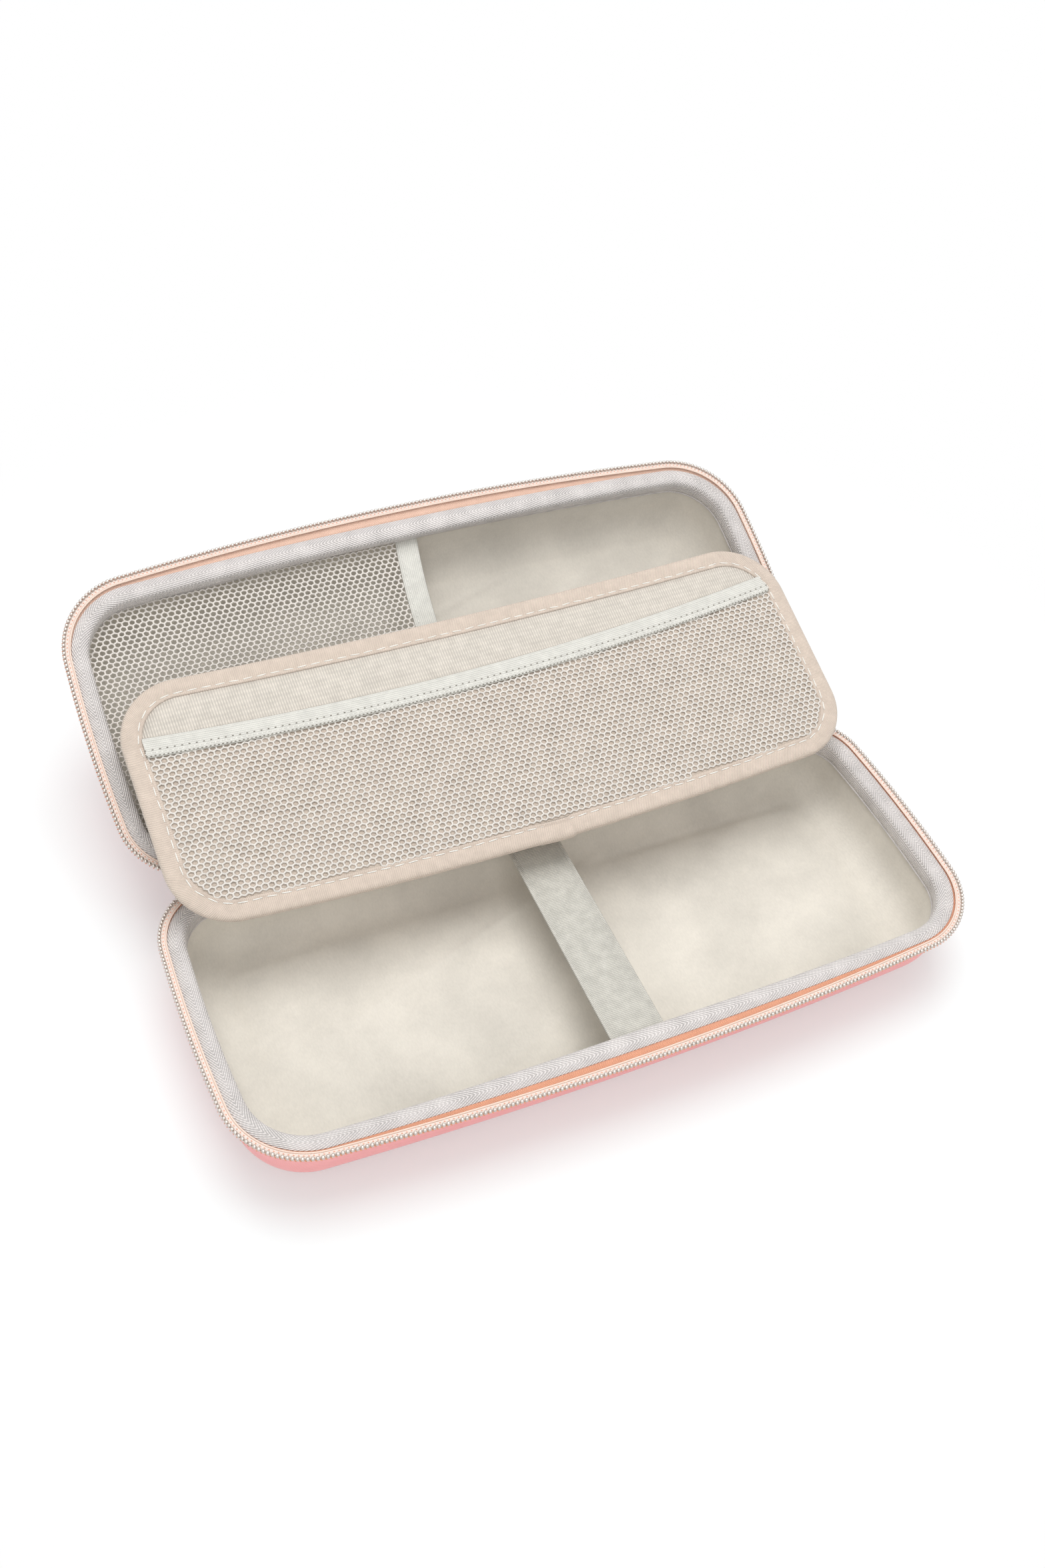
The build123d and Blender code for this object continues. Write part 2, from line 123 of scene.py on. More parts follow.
MOUTHS = {
    "base": mouth(Vector((1, 0, 0)), Vector((0, 0, -1))),
    "lid": mouth(Vector((-1, 0, 0)), Vector((0, math.sin(LEAN), -math.cos(LEAN)))),
}
DIVIDER = Matrix.Rotation(DIVIDER_SLOPE, 4, "X")
DIVIDER.translation = DIVIDER_PLACE


def tone(red, green, blue):
    """Linear colour of an sRGB one written as 0 to 255."""
    return tuple((c / 255) ** 2.2 for c in (red, green, blue))


# ---- outlines ---------------------------------------------------------------------------
def arc_radius(half_chord, bow):
    return (half_chord ** 2 + bow ** 2) / (2 * bow)


def crossing(centre, radius, other, other_radius):
    """Crossing of two circles that lies furthest out and forward."""
    gap = other - centre
    along = (radius ** 2 - other_radius ** 2 + gap.length_squared) / (2 * gap.length)
    aside = math.sqrt(radius ** 2 - along ** 2)
    foot = centre + gap.normalized() * along
    across = Vector((-gap.y, gap.x)).normalized() * aside
    return max(foot + across, foot - across, key=lambda point: point.x + point.y)


def bearing(vector):
    return math.atan2(vector.y, vector.x)


def arc_points(centre, radius, start, end, step=STEP):
    """Points and outward directions along an arc, without its last point."""
    count = max(3, round(abs(end - start) * abs(radius) / step))
    out = []
    for index in range(count):
        angle = start + (end - start) * index / count
        direction = Vector((math.cos(angle), math.sin(angle)))
        out.append((centre + direction * radius, direction * math.copysign(1, radius)))
    return out


def mirrored(half):
    """A closed outline from its right half, given from the bottom middle to the top middle."""
    left = [(Vector((-p.x, p.y)), Vector((-n.x, n.y))) for p, n in reversed(half[1:-1])]
    return half + left


def case_outline(drawn_in=0.0, straight_step=STEP):
    """Points and outward directions of a half, from the middle of the hinge side."""
    middle_y = HINGE_GAP + WIDTH / 2
    side = arc_radius(WIDTH / 2, SIDE_BOW)
    front = arc_radius(LENGTH / 2, FRONT_BOW - drawn_in)
    side_centre = Vector((LENGTH / 2 - side, middle_y))
    front_centre = Vector((0, HINGE_GAP + WIDTH - drawn_in - front))
    back_y = HINGE_GAP + BACK_RADIUS
    reach = math.sqrt((side - BACK_RADIUS) ** 2 - (back_y - middle_y) ** 2)
    back_corner = Vector((side_centre.x + reach, back_y))
    front_corner = crossing(side_centre, side - FRONT_RADIUS, front_centre, front - FRONT_RADIUS)
    low = bearing(back_corner - side_centre)
    high = bearing(front_corner - side_centre)
    top = bearing(front_corner - front_centre)
    out = []
    count = round(back_corner.x / straight_step)
    for index in range(count):
        out.append((Vector((back_corner.x * index / count, HINGE_GAP)), Vector((0, -1))))
    corner_step = STEP * 0.6
    out += arc_points(back_corner, BACK_RADIUS, -math.pi / 2, low, corner_step)
    out += arc_points(side_centre, side, low, high)
    out += arc_points(front_corner, FRONT_RADIUS, high, top, corner_step)
    steps = 90
    for index in range(steps + 1):
        angle = top + (math.pi / 2 - top) * index / steps
        direction = Vector((math.cos(angle), math.sin(angle)))
        out.append((front_centre + direction * front, direction))
    return mirrored(out)


def divider_outline():
    """The divider's outline: near edge bulging, far edge hollow, rounded ends."""
    near = arc_radius(DIVIDER_LENGTH / 2, DIVIDER_NEAR_BOW)
    far = arc_radius(DIVIDER_LENGTH / 2, DIVIDER_FAR_BOW)
    near_centre = Vector((0, near))
    far_centre = Vector((0, DIVIDER_WIDTH + far))
    corner_x = DIVIDER_LENGTH / 2 - DIVIDER_RADIUS
    near_y = near - math.sqrt((near - DIVIDER_RADIUS) ** 2 - corner_x ** 2)
    far_y = far_centre.y - math.sqrt((far + DIVIDER_RADIUS) ** 2 - corner_x ** 2)
    near_corner = Vector((corner_x, near_y))
    far_corner = Vector((corner_x, far_y))
    low = bearing(near_corner - near_centre)
    high = bearing(far_centre - far_corner)
    out = arc_points(near_centre, near, -math.pi / 2, low)
    out += arc_points(near_corner, DIVIDER_RADIUS, low, 0.0, STEP * 0.6)
    count = round((far_y - near_y) / STEP)
    for index in range(count):
        out.append((Vector((DIVIDER_LENGTH / 2, near_y + (far_y - near_y) * index / count)),
                    Vector((1, 0))))
    out += arc_points(far_corner, DIVIDER_RADIUS, 0.0, high, STEP * 0.6)
    start = bearing(far_corner - far_centre)
    steps = 80
    for index in range(steps + 1):
        angle = start + (-math.pi / 2 - start) * index / steps
        direction = Vector((math.cos(angle), math.sin(angle)))
        out.append((far_centre + direction * far, -direction))
    return mirrored(out)


def inset_row(outline, inset, height):
    """The outline moved inwards, at one height."""
    return [Vector((p.x - n.x * inset, p.y - n.y * inset, height)) for p, n in outline]


def free_stretch(outline, half_length):
    """The outline without its hinge stretch, as an open run."""
    run = [(p, n) for p, n in outline
           if not (p.y < HINGE_GAP + 1 * MM and abs(p.x) < half_length)]
    return run


def profile_rows(outline, profile):
    """One row for each (inset, height) of a cross-section."""
    return [inset_row(outline, inset, height) for inset, height in profile]


# ---- meshes -----------------------------------------------------------------------------
def running_length(points):
    lengths = [0.0]
    for first, second in zip(points, points[1:]):
        lengths.append(lengths[-1] + (second - first).length)
    return lengths


def skin(name, rows, material, place, closed_along=True, closed_across=False, thickness=0.0):
    """Surface through rows of points, with a UV map in metres: along the rows, then across."""
    count, width = len(rows), len(rows[0])
    along = running_length(rows[count // 2] + rows[count // 2][:1])
    column = [row[width // 3] for row in rows]
    across = running_length(column + column[:1])
    mesh = bpy.data.meshes.new(name)
    points = [place @ point for row in rows for point in row]
    faces, uvs = [], []
    for i in range(count if closed_across else count - 1):
        for j in range(width if closed_along else width - 1):
            i2, j2 = (i + 1) % count, (j + 1) % width
            faces.append((i * width + j, i * width + j2, i2 * width + j2, i2 * width + j))
            uvs += [(along[j], across[i]), (along[j + 1], across[i]),
                    (along[j + 1], across[i + 1]), (along[j], across[i + 1])]
    mesh.from_pydata(points, [], faces)
    layer = mesh.uv_layers.new(name="UVMap")
    for loop, uv in zip(layer.data, uvs):
        loop.uv = uv
    clean(mesh, closed_along and closed_across)
    piece = bpy.data.objects.new(name, mesh)
    bpy.context.scene.collection.objects.link(piece)
    mesh.materials.append(material)
    if thickness:
        solid = piece.modifiers.new("Thickness", "SOLIDIFY")
        solid.thickness = thickness
        solid.offset = -1
        piece.data = plain_mesh(piece)
        piece.modifiers.clear()
    return piece


def clean(mesh, closed):
    """Merge doubled points, shade smooth and, on a closed form, turn every face outwards."""
    form = bmesh.new()
    form.from_mesh(mesh)
    bmesh.ops.remove_doubles(form, verts=form.verts, dist=0.01 * MM)
    if closed:
        bmesh.ops.recalc_face_normals(form, faces=form.faces)
    form.to_mesh(mesh)
    form.free()
    mesh.shade_smooth()


def plain_mesh(piece):
    """The piece with its modifiers applied, as a mesh of its own."""
    graph = bpy.context.evaluated_depsgraph_get()
    return bpy.data.meshes.new_from_object(piece.evaluated_get(graph), depsgraph=graph)


def flat_area(name, outline_points, height=0.0):
    """A filled flat area, as one face."""
    mesh = bpy.data.meshes.new(name)
    mesh.from_pydata([(p.x, p.y, height) for p in outline_points], [],
                     [tuple(range(len(outline_points)))])
    piece = bpy.data.objects.new(name, mesh)
    bpy.context.scene.collection.objects.link(piece)
    return piece


def to_middle(row, half_spine, middle_y, steps):
    """Rows that close a rounded outline onto a line along its middle.

    The last row's points stand on even steps, so that its two sides meet point to point.
    """
    last = [Vector((round(max(-half_spine, min(half_spine, point.x)) / STEP) * STEP, middle_y,
                    point.z)) for point in row]
    return [[point.lerp(end, index / steps) for point, end in zip(row, last)]
            for index in range(1, steps + 1)]


def ease(value):
    value = max(0.0, min(1.0, value))
    return value * value * (3 - 2 * value)


# ---- geometry node trees ------------------------------------------------------------------
class Tree:
    """A geometry node tree being built, with short names for the usual steps."""

    def __init__(self, name, inputs):
        self.group = bpy.data.node_groups.new(name, "GeometryNodeTree")
        interface = self.group.interface
        interface.new_socket("Geometry", in_out="INPUT", socket_type="NodeSocketGeometry")
        for label, kind, default in inputs:
            socket = interface.new_socket(label, in_out="INPUT", socket_type=kind)
            if default is not None:
                socket.default_value = default
        interface.new_socket("Geometry", in_out="OUTPUT", socket_type="NodeSocketGeometry")
        self.source = self.group.nodes.new("NodeGroupInput")
        self.end = self.group.nodes.new("NodeGroupOutput")

    def add(self, kind, links=(), **settings):
        """A node with its settings, and (input, value or socket) pairs put on it."""
        node = self.group.nodes.new(kind)
        for key, value in settings.items():
            setattr(node, key, value)
        for key, value in links:
            if isinstance(value, bpy.types.NodeSocket):
                self.group.links.new(value, node.inputs[key])
            else:
                node.inputs[key].default_value = value
        return node

    def math(self, operation, *values):
        return self.add("ShaderNodeMath", list(enumerate(values)), operation=operation).outputs[0]

    def value(self, name):
        return self.source.outputs[name]

    def finish(self, geometry, realize=True):
        """End in Realize Instances and Set Material."""
        if realize:
            geometry = self.add("GeometryNodeRealizeInstances",
                                [("Geometry", geometry)]).outputs[0]
        last = self.add("GeometryNodeSetMaterial",
                        [("Geometry", geometry), ("Material", self.value("Material"))])
        self.group.links.new(last.outputs[0], self.end.inputs[0])
        return self.group


def row_tree():
    """Copies of a shape at an even pitch along a path, turned to follow it."""
    tree = Tree("Row Along Path", [
        ("Pitch", "NodeSocketFloat", 2 * MM), ("Shape", "NodeSocketObject", None),
        ("Turn", "NodeSocketFloat", 0.0), ("Unevenness", "NodeSocketFloat", 0.0),
        ("Seed", "NodeSocketInt", 3), ("Material", "NodeSocketMaterial", None)])
    curve = tree.add("GeometryNodeMeshToCurve", [("Mesh", tree.value("Geometry"))]).outputs[0]
    points = tree.add("GeometryNodeCurveToPoints", [
        ("Curve", curve), ("Length", tree.value("Pitch"))], mode="LENGTH")
    turned = tree.add("FunctionNodeAlignRotationToVector", [
        ("Vector", points.outputs["Tangent"])], axis="X", pivot_axis="Z")
    extra = tree.add("FunctionNodeRandomValue", [
        (2, tree.math("MULTIPLY", tree.value("Unevenness"), -1.0)),
        (3, tree.value("Unevenness")), ("Seed", tree.value("Seed"))], data_type="FLOAT")
    angle = tree.math("ADD", tree.value("Turn"), extra.outputs[1])
    spin = tree.add("FunctionNodeAxisAngleToRotation", [
        ("Axis", (0, 0, 1)), ("Angle", angle)]).outputs[0]
    rotation = tree.add("FunctionNodeRotateRotation", [
        ("Rotation", turned.outputs[0]), ("Rotate By", spin)]).outputs[0]
    shape = tree.add("GeometryNodeObjectInfo", [("Object", tree.value("Shape"))])
    copies = tree.add("GeometryNodeInstanceOnPoints", [
        ("Points", points.outputs[0]), ("Instance", shape.outputs["Geometry"]),
        ("Rotation", rotation)])
    return tree.finish(copies.outputs[0])


def net_tree():
    """Hexagonal net of round threads over a flat area, a little uneven."""
    tree = Tree("Hexagonal Net", [
        ("Pitch", "NodeSocketFloat", 2.8 * MM), ("Thread", "NodeSocketFloat", 0.6 * MM),
        ("Length", "NodeSocketFloat", 0.3), ("Width", "NodeSocketFloat", 0.14),
        ("Stretch", "NodeSocketFloat", 1.15), ("Unevenness", "NodeSocketFloat", 0.4 * MM),
        ("Seed", "NodeSocketFloat", 4.0), ("Material", "NodeSocketMaterial", None)])
    across = tree.math("MULTIPLY", tree.value("Pitch"), tree.value("Stretch"))
    row_height = tree.math("MULTIPLY", tree.value("Pitch"), math.sin(math.radians(60)))
    columns = tree.math("ROUND", tree.math("DIVIDE", tree.value("Length"), across))
    rows = tree.math("ROUND", tree.math("DIVIDE", tree.value("Width"), row_height))
    grid = tree.add("GeometryNodeMeshGrid", [
        ("Size X", tree.math("MULTIPLY", columns, across)),
        ("Size Y", tree.math("MULTIPLY", rows, row_height)),
        ("Vertices X", tree.math("ADD", columns, 1.0)),
        ("Vertices Y", tree.math("ADD", rows, 1.0))]).outputs["Mesh"]
    place = tree.add("GeometryNodeInputPosition").outputs[0]
    split = tree.add("ShaderNodeSeparateXYZ", [("Vector", place)])
    half = tree.math("MULTIPLY", rows, row_height)
    from_edge = tree.math("ADD", split.outputs["Y"], tree.math("MULTIPLY", half, 0.5))
    row = tree.math("ROUND", tree.math("DIVIDE", from_edge, row_height))
    shift = tree.math("MULTIPLY", tree.math("MODULO", row, 2.0), tree.math("MULTIPLY", across, 0.5))
    step = tree.add("ShaderNodeCombineXYZ", [("X", shift)]).outputs[0]
    grid = tree.add("GeometryNodeSetPosition", [("Geometry", grid), ("Offset", step)]).outputs[0]
    grid = tree.add("GeometryNodeTriangulate", [("Mesh", grid)],
                    quad_method="SHORTEST_DIAGONAL").outputs[0]
    cells = tree.add("GeometryNodeDualMesh", [("Mesh", grid)]).outputs[0]
    centre = tree.add("GeometryNodeAttributeStatistic", [
        ("Geometry", tree.value("Geometry")), ("Attribute", place)],
        data_type="FLOAT_VECTOR", domain="POINT")
    low, high = centre.outputs["Min"], centre.outputs["Max"]
    middle = tree.add("ShaderNodeVectorMath", [(0, low), (1, high)], operation="ADD").outputs[0]
    middle = tree.add("ShaderNodeVectorMath", [(0, middle), ("Scale", 0.5)],
                      operation="SCALE").outputs[0]
    cells = tree.add("GeometryNodeSetPosition", [("Geometry", cells), ("Offset", middle)]).outputs[0]
    above = tree.add("ShaderNodeVectorMath", [(0, place), (1, (0, 0, 1))], operation="ADD").outputs[0]
    ray = tree.add("GeometryNodeRaycast", [
        ("Target Geometry", tree.value("Geometry")), ("Source Position", above),
        ("Ray Direction", (0, 0, -1)), ("Ray Length", 2.0)])
    outside = tree.add("FunctionNodeBooleanMath", [(0, ray.outputs["Is Hit"])],
                       operation="NOT").outputs[0]
    cells = tree.add("GeometryNodeDeleteGeometry", [
        ("Geometry", cells), ("Selection", outside)], domain="FACE").outputs[0]
    rough = tree.add("ShaderNodeTexNoise", [
        ("Vector", place), ("W", tree.value("Seed")), ("Scale", 260.0)], noise_dimensions="4D")
    centred = tree.add("ShaderNodeVectorMath", [
        (0, rough.outputs["Color"]), (1, (0.5, 0.5, 0.5))], operation="SUBTRACT").outputs[0]
    pull = tree.add("ShaderNodeVectorMath", [
        (0, centred), ("Scale", tree.math("MULTIPLY", tree.value("Unevenness"), 2.0))],
        operation="SCALE").outputs[0]
    cells = tree.add("GeometryNodeSetPosition", [("Geometry", cells), ("Offset", pull)]).outputs[0]
    lines = tree.add("GeometryNodeMeshToCurve", [("Mesh", cells)]).outputs[0]
    section = tree.add("GeometryNodeCurvePrimitiveCircle", [
        ("Resolution", 4), ("Radius", tree.math("MULTIPLY", tree.value("Thread"), 0.5))])
    threads = tree.add("GeometryNodeCurveToMesh", [
        ("Curve", lines), ("Profile Curve", section.outputs[0]), ("Fill Caps", True)])
    return tree.finish(threads.outputs[0])


def grown(name, tree, source, values, material, place, smooth=True):
    """Run a tree on a source object and keep its result as a plain mesh in the row frame."""
    modifier = source.modifiers.new("Nodes", "NODES")
    modifier.node_group = tree
    sockets = {item.name: item.identifier for item in tree.interface.items_tree
               if item.item_type == "SOCKET" and item.in_out == "INPUT"}
    for label, value in values.items():
        modifier[sockets[label]] = value
    modifier[sockets["Material"]] = material
    mesh = plain_mesh(source)
    if not mesh.vertices:
        raise RuntimeError(f"{name}: the node tree made no geometry")
    mesh.name = name
    mesh.transform(place)
    if smooth:
        mesh.shade_smooth()
    bpy.data.objects.remove(source)
    piece = bpy.data.objects.new(name, mesh)
    bpy.context.scene.collection.objects.link(piece)
    return piece


def path_object(points, closed):
    """A line of edges for a tree to follow."""
    edges = [(i, i + 1) for i in range(len(points) - 1)]
    if closed:
        edges.append((len(points) - 1, 0))
    mesh = bpy.data.meshes.new("Path")
    mesh.from_pydata(points, edges, [])
    piece = bpy.data.objects.new("Path", mesh)
    bpy.context.scene.collection.objects.link(piece)
    return piece


def rounded_shape(name, length, width, height, sections, sides=8):
    """Small closed form along x whose girth follows (place, share) pairs."""
    form = bmesh.new()
    rings = []
    for place, share in sections:
        ring = []
        for index in range(sides):
            angle = 2 * math.pi * index / sides
            ring.append(form.verts.new((
                (place - 0.5) * length, math.cos(angle) * width / 2 * share,
                math.sin(angle) * height / 2 * share)))
        rings.append(ring)
    for first, second in zip(rings, rings[1:]):
        for index in range(sides):
            following = (index + 1) % sides
            form.faces.new((first[index], first[following], second[following], second[index]))
    form.faces.new(list(reversed(rings[0])))
    form.faces.new(rings[-1])
    bmesh.ops.recalc_face_normals(form, faces=form.faces)
    mesh = bpy.data.meshes.new(name)
    form.to_mesh(mesh)
    form.free()
    return bpy.data.objects.new(name, mesh)


# ---- shader groups --------------------------------------------------------------------------
class Shades:
    """A shader node tree being built, with short names for the usual steps."""

    def __init__(self, tree):
        self.tree = tree

    def add(self, kind, links=(), **settings):
        node = self.tree.nodes.new(kind)
        for key, value in settings.items():
            setattr(node, key, value)
        for key, value in links:
            if isinstance(value, bpy.types.NodeSocket):
                self.tree.links.new(value, node.inputs[key])
            else:
                node.inputs[key].default_value = value
        return node

    def math(self, operation, *values):
        return self.add("ShaderNodeMath", list(enumerate(values)), operation=operation).outputs[0]

    def wave(self, phase):
        """A smooth 0 to 1 ridge for each whole step of the phase."""
        turned = self.math("COSINE", self.math("MULTIPLY", phase, 2 * math.pi))
        return self.math("MULTIPLY_ADD", turned, 0.5, 0.5)

    def noise(self, vector, scale, detail=3.0, roughness=0.55):
        return self.add("ShaderNodeTexNoise", [
            ("Vector", vector), ("Scale", scale), ("Detail", detail),
            ("Roughness", roughness)]).outputs["Fac"]


def shader_group(name, inputs, outputs):
    """A new shader group with float and vector sockets; returns its maker and its two ends."""
    group = bpy.data.node_groups.new(name, "ShaderNodeTree")
    for label, default in inputs:
        kind = "NodeSocketVector" if default is None else "NodeSocketFloat"
        socket = group.interface.new_socket(label, in_out="INPUT", socket_type=kind)
        if default is not None:
            socket.default_value = default
    for label in outputs:
        group.interface.new_socket(label, in_out="OUTPUT", socket_type="NodeSocketFloat")
    shades = Shades(group)
    return shades, group.nodes.new("NodeGroupInput"), group.nodes.new("NodeGroupOutput")


def herringbone_group():
    """Twill of two slanting columns, then beaded cords along the tape further in."""
    shades, start, end = shader_group("Herringbone", [
        ("Vector", None), ("Column", 3.4 * MM), ("Rib", 1.4 * MM), ("Cord", 0.85 * MM),
        ("Turn Down", 7.3 * MM)], ["Height", "Shade"])
    split = shades.add("ShaderNodeSeparateXYZ", [("Vector", start.outputs["Vector"])])
    along, across = split.outputs["X"], split.outputs["Y"]
    zigzag = shades.math("PINGPONG", across, start.outputs["Column"])
    slant = shades.math("MULTIPLY_ADD", zigzag, 1.65, along)
    ribs = shades.wave(shades.math("DIVIDE", slant, start.outputs["Rib"]))
    twist = shades.wave(shades.math("DIVIDE", across, shades.math(
        "MULTIPLY", start.outputs["Rib"], 0.4)))
    twill = shades.math("MULTIPLY", ribs, shades.math("MULTIPLY_ADD", twist, 0.4, 0.6))
    cords = shades.wave(shades.math("DIVIDE", across, start.outputs["Cord"]))
    beads = shades.wave(shades.math("DIVIDE", along, shades.math(
        "MULTIPLY", start.outputs["Cord"], 0.8)))
    beaded = shades.math("MULTIPLY", cords, shades.math("MULTIPLY_ADD", beads, 0.6, 0.4))
    inner = shades.math("GREATER_THAN", across, start.outputs["Turn Down"])
    both = shades.add("ShaderNodeMix", [(0, inner), (2, twill), (3, beaded)])
    height = both.outputs[0]
    shades.tree.links.new(height, end.inputs["Height"])
    worn = shades.noise(start.outputs["Vector"], 130.0)
    # Shade: the twill's pattern, with painted shade in its grooves where the height is low, over random
    # wear.
    shade = shades.math("MULTIPLY_ADD", worn, 0.5, shades.math("MULTIPLY", height, 0.6))
    shades.tree.links.new(shade, end.inputs["Shade"])
    return shades.tree


def ribbed_group():
    """Knitted ribs across a strip, broken into small loops."""
    shades, start, end = shader_group("Knitted Ribs", [
        ("Vector", None), ("Rib", 0.7 * MM), ("Loop", 0.5 * MM), ("Slant", 0.0),
        ("Lengthwise", 0.0)],
        ["Height", "Shade"])
    split = shades.add("ShaderNodeSeparateXYZ", [("Vector", start.outputs["Vector"])])
    along, across = split.outputs["X"], split.outputs["Y"]
    slant = shades.math("MULTIPLY_ADD", across, start.outputs["Slant"], along)
    turn = start.outputs["Lengthwise"]
    over = shades.add("ShaderNodeMix", [(0, turn), (2, slant), (3, across)]).outputs[0]
    under = shades.add("ShaderNodeMix", [(0, turn), (2, across), (3, along)]).outputs[0]
    ribs = shades.wave(shades.math("DIVIDE", over, start.outputs["Rib"]))
    loops = shades.wave(shades.math("DIVIDE", under, start.outputs["Loop"]))
    height = shades.math("MULTIPLY", ribs, shades.math("MULTIPLY_ADD", loops, 0.5, 0.5))
    shades.tree.links.new(height, end.inputs["Height"])
    uneven = shades.noise(start.outputs["Vector"], 260.0)
    # Shade: the ribs' pattern, with painted shade in the gaps where the height is low, over random
    # unevenness.
    shades.tree.links.new(shades.math("MULTIPLY_ADD", uneven, 0.55, shades.math(
        "MULTIPLY", height, 0.5)), end.inputs["Shade"])
    return shades.tree


def canvas_group():
    """Plain weave on a surface, thread over thread."""
    shades, start, end = shader_group("Canvas", [
        ("Vector", None), ("Thread", 0.55 * MM), ("Slub", 0.5)], ["Height", "Shade"])
    split = shades.add("ShaderNodeSeparateXYZ", [("Vector", start.outputs["Vector"])])
    over = shades.wave(shades.math("DIVIDE", split.outputs["X"], start.outputs["Thread"]))
    under = shades.wave(shades.math("DIVIDE", split.outputs["Y"], start.outputs["Thread"]))
    deep = shades.wave(shades.math("DIVIDE", split.outputs["Z"], start.outputs["Thread"]))
    height = shades.math("MULTIPLY", shades.math("ADD", over, under), 0.4)
    height = shades.math("MULTIPLY_ADD", deep, 0.2, height)
    shades.tree.links.new(height, end.inputs["Height"])
    slub = shades.noise(start.outputs["Vector"], 220.0, 4.0)
    # Shade: random slub, with painted shade between the threads where the height is low.
    shade = shades.math("MULTIPLY_ADD", shades.math("MULTIPLY", slub, start.outputs["Slub"]),
                        1.0, shades.math("MULTIPLY", height, 0.4))
    shades.tree.links.new(shade, end.inputs["Shade"])
    return shades.tree


def velvet_group():
    """Short pile: soft mottling where it has been stroked, with the sheen the pile catches painted into it
    as lighter and darker patches, and fine streaks along it.
    """
    shades, start, end = shader_group("Velvet Pile", [
        ("Vector", None), ("Mottle", 34.0), ("Streak", 1500.0)], ["Height", "Shade"])
    wide = shades.noise(start.outputs["Vector"], start.outputs["Mottle"], 5.0, 0.62)
    combed = shades.add("ShaderNodeVectorMath", [
        (0, start.outputs["Vector"]), (1, (1.0, 0.45, 0.7))], operation="MULTIPLY").outputs[0]
    fine = shades.noise(combed, start.outputs["Streak"], 2.0, 0.6)
    patch = shades.noise(start.outputs["Vector"], 9.0, 2.0)
    # Painted sheen: the mottling and broad patches lighten and darken the colour as the stroked pile would
    # catch light.
    shade = shades.math("MULTIPLY_ADD", wide, 0.75, shades.math("MULTIPLY", fine, 0.25))
    shade = shades.math("MULTIPLY_ADD", patch, 0.35, shades.math("MULTIPLY", shade, 0.75))
    shades.tree.links.new(shade, end.inputs["Shade"])
    height = shades.math("MULTIPLY_ADD", wide, 0.8, shades.math("MULTIPLY", fine, 0.5))
    shades.tree.links.new(height, end.inputs["Height"])
    return shades.tree


GROUPS = {}


def group_named(name):
    """Each shared effect is built once."""
    if name not in GROUPS:
        GROUPS[name] = {"herringbone": herringbone_group, "ribs": ribbed_group,
                        "canvas": canvas_group, "velvet": velvet_group}[name]()
    return GROUPS[name]


def cloth(name, effect, dark, light, roughness, relief, coordinates="UV", sheen=0.0,
          settings=(), contrast=(0.25, 0.8), specular=0.3):
    """A cloth finish: one shared effect sets its colour between two tones and its relief."""
    material = bpy.data.materials.new(name)
    material.use_nodes = True
    shades = Shades(material.node_tree)
    shader = material.node_tree.nodes["Principled BSDF"]
    shader.inputs["Roughness"].default_value = roughness
    shader.inputs["Specular IOR Level"].default_value = specular
    shader.inputs["Sheen Weight"].default_value = sheen
    shader.inputs["Sheen Roughness"].default_value = 0.45
    vector = shades.add("ShaderNodeTexCoord").outputs[coordinates]
    group = shades.add("ShaderNodeGroup", node_tree=group_named(effect))
    shades.tree.links.new(vector, group.inputs["Vector"])
    for label, value in settings:
        group.inputs[label].default_value = value
    ramp = shades.add("ShaderNodeValToRGB", [("Fac", group.outputs["Shade"])])
    ramp.color_ramp.elements[0].position, ramp.color_ramp.elements[1].position = contrast
    ramp.color_ramp.elements[0].color = (*dark, 1)
    ramp.color_ramp.elements[1].color = (*light, 1)
    shades.tree.links.new(ramp.outputs["Color"], shader.inputs["Base Color"])
    bump = shades.add("ShaderNodeBump", [("Strength", 1.0), ("Distance", relief),
                                         ("Height", group.outputs["Height"])])
    shades.tree.links.new(bump.outputs["Normal"], shader.inputs["Normal"])
    return material


def metal(name, dark, light, roughness, scale):
    """Plated metal with light handling marks."""
    material = bpy.data.materials.new(name)
    material.use_nodes = True
    shades = Shades(material.node_tree)
    shader = material.node_tree.nodes["Principled BSDF"]
    shader.inputs["Metallic"].default_value = 0.9
    vector = shades.add("ShaderNodeTexCoord").outputs["Object"]
    marks = shades.noise(vector, scale, 5.0, 0.65)
    ramp = shades.add("ShaderNodeValToRGB", [("Fac", marks)])
    ramp.color_ramp.elements[0].color = (*dark, 1)
    ramp.color_ramp.elements[1].color = (*light, 1)
    shades.tree.links.new(ramp.outputs["Color"], shader.inputs["Base Color"])
    rough = shades.math("MULTIPLY_ADD", marks, 0.25, roughness)
    shades.tree.links.new(rough, shader.inputs["Roughness"])
    return material


def thread(name, dark, light):
    """Twisted sewing thread."""
    return cloth(name, "canvas", dark, light, 0.6, 0.05 * MM, "Object", 0.2,
                 [("Thread", 0.3 * MM)])


MATERIALS = {}


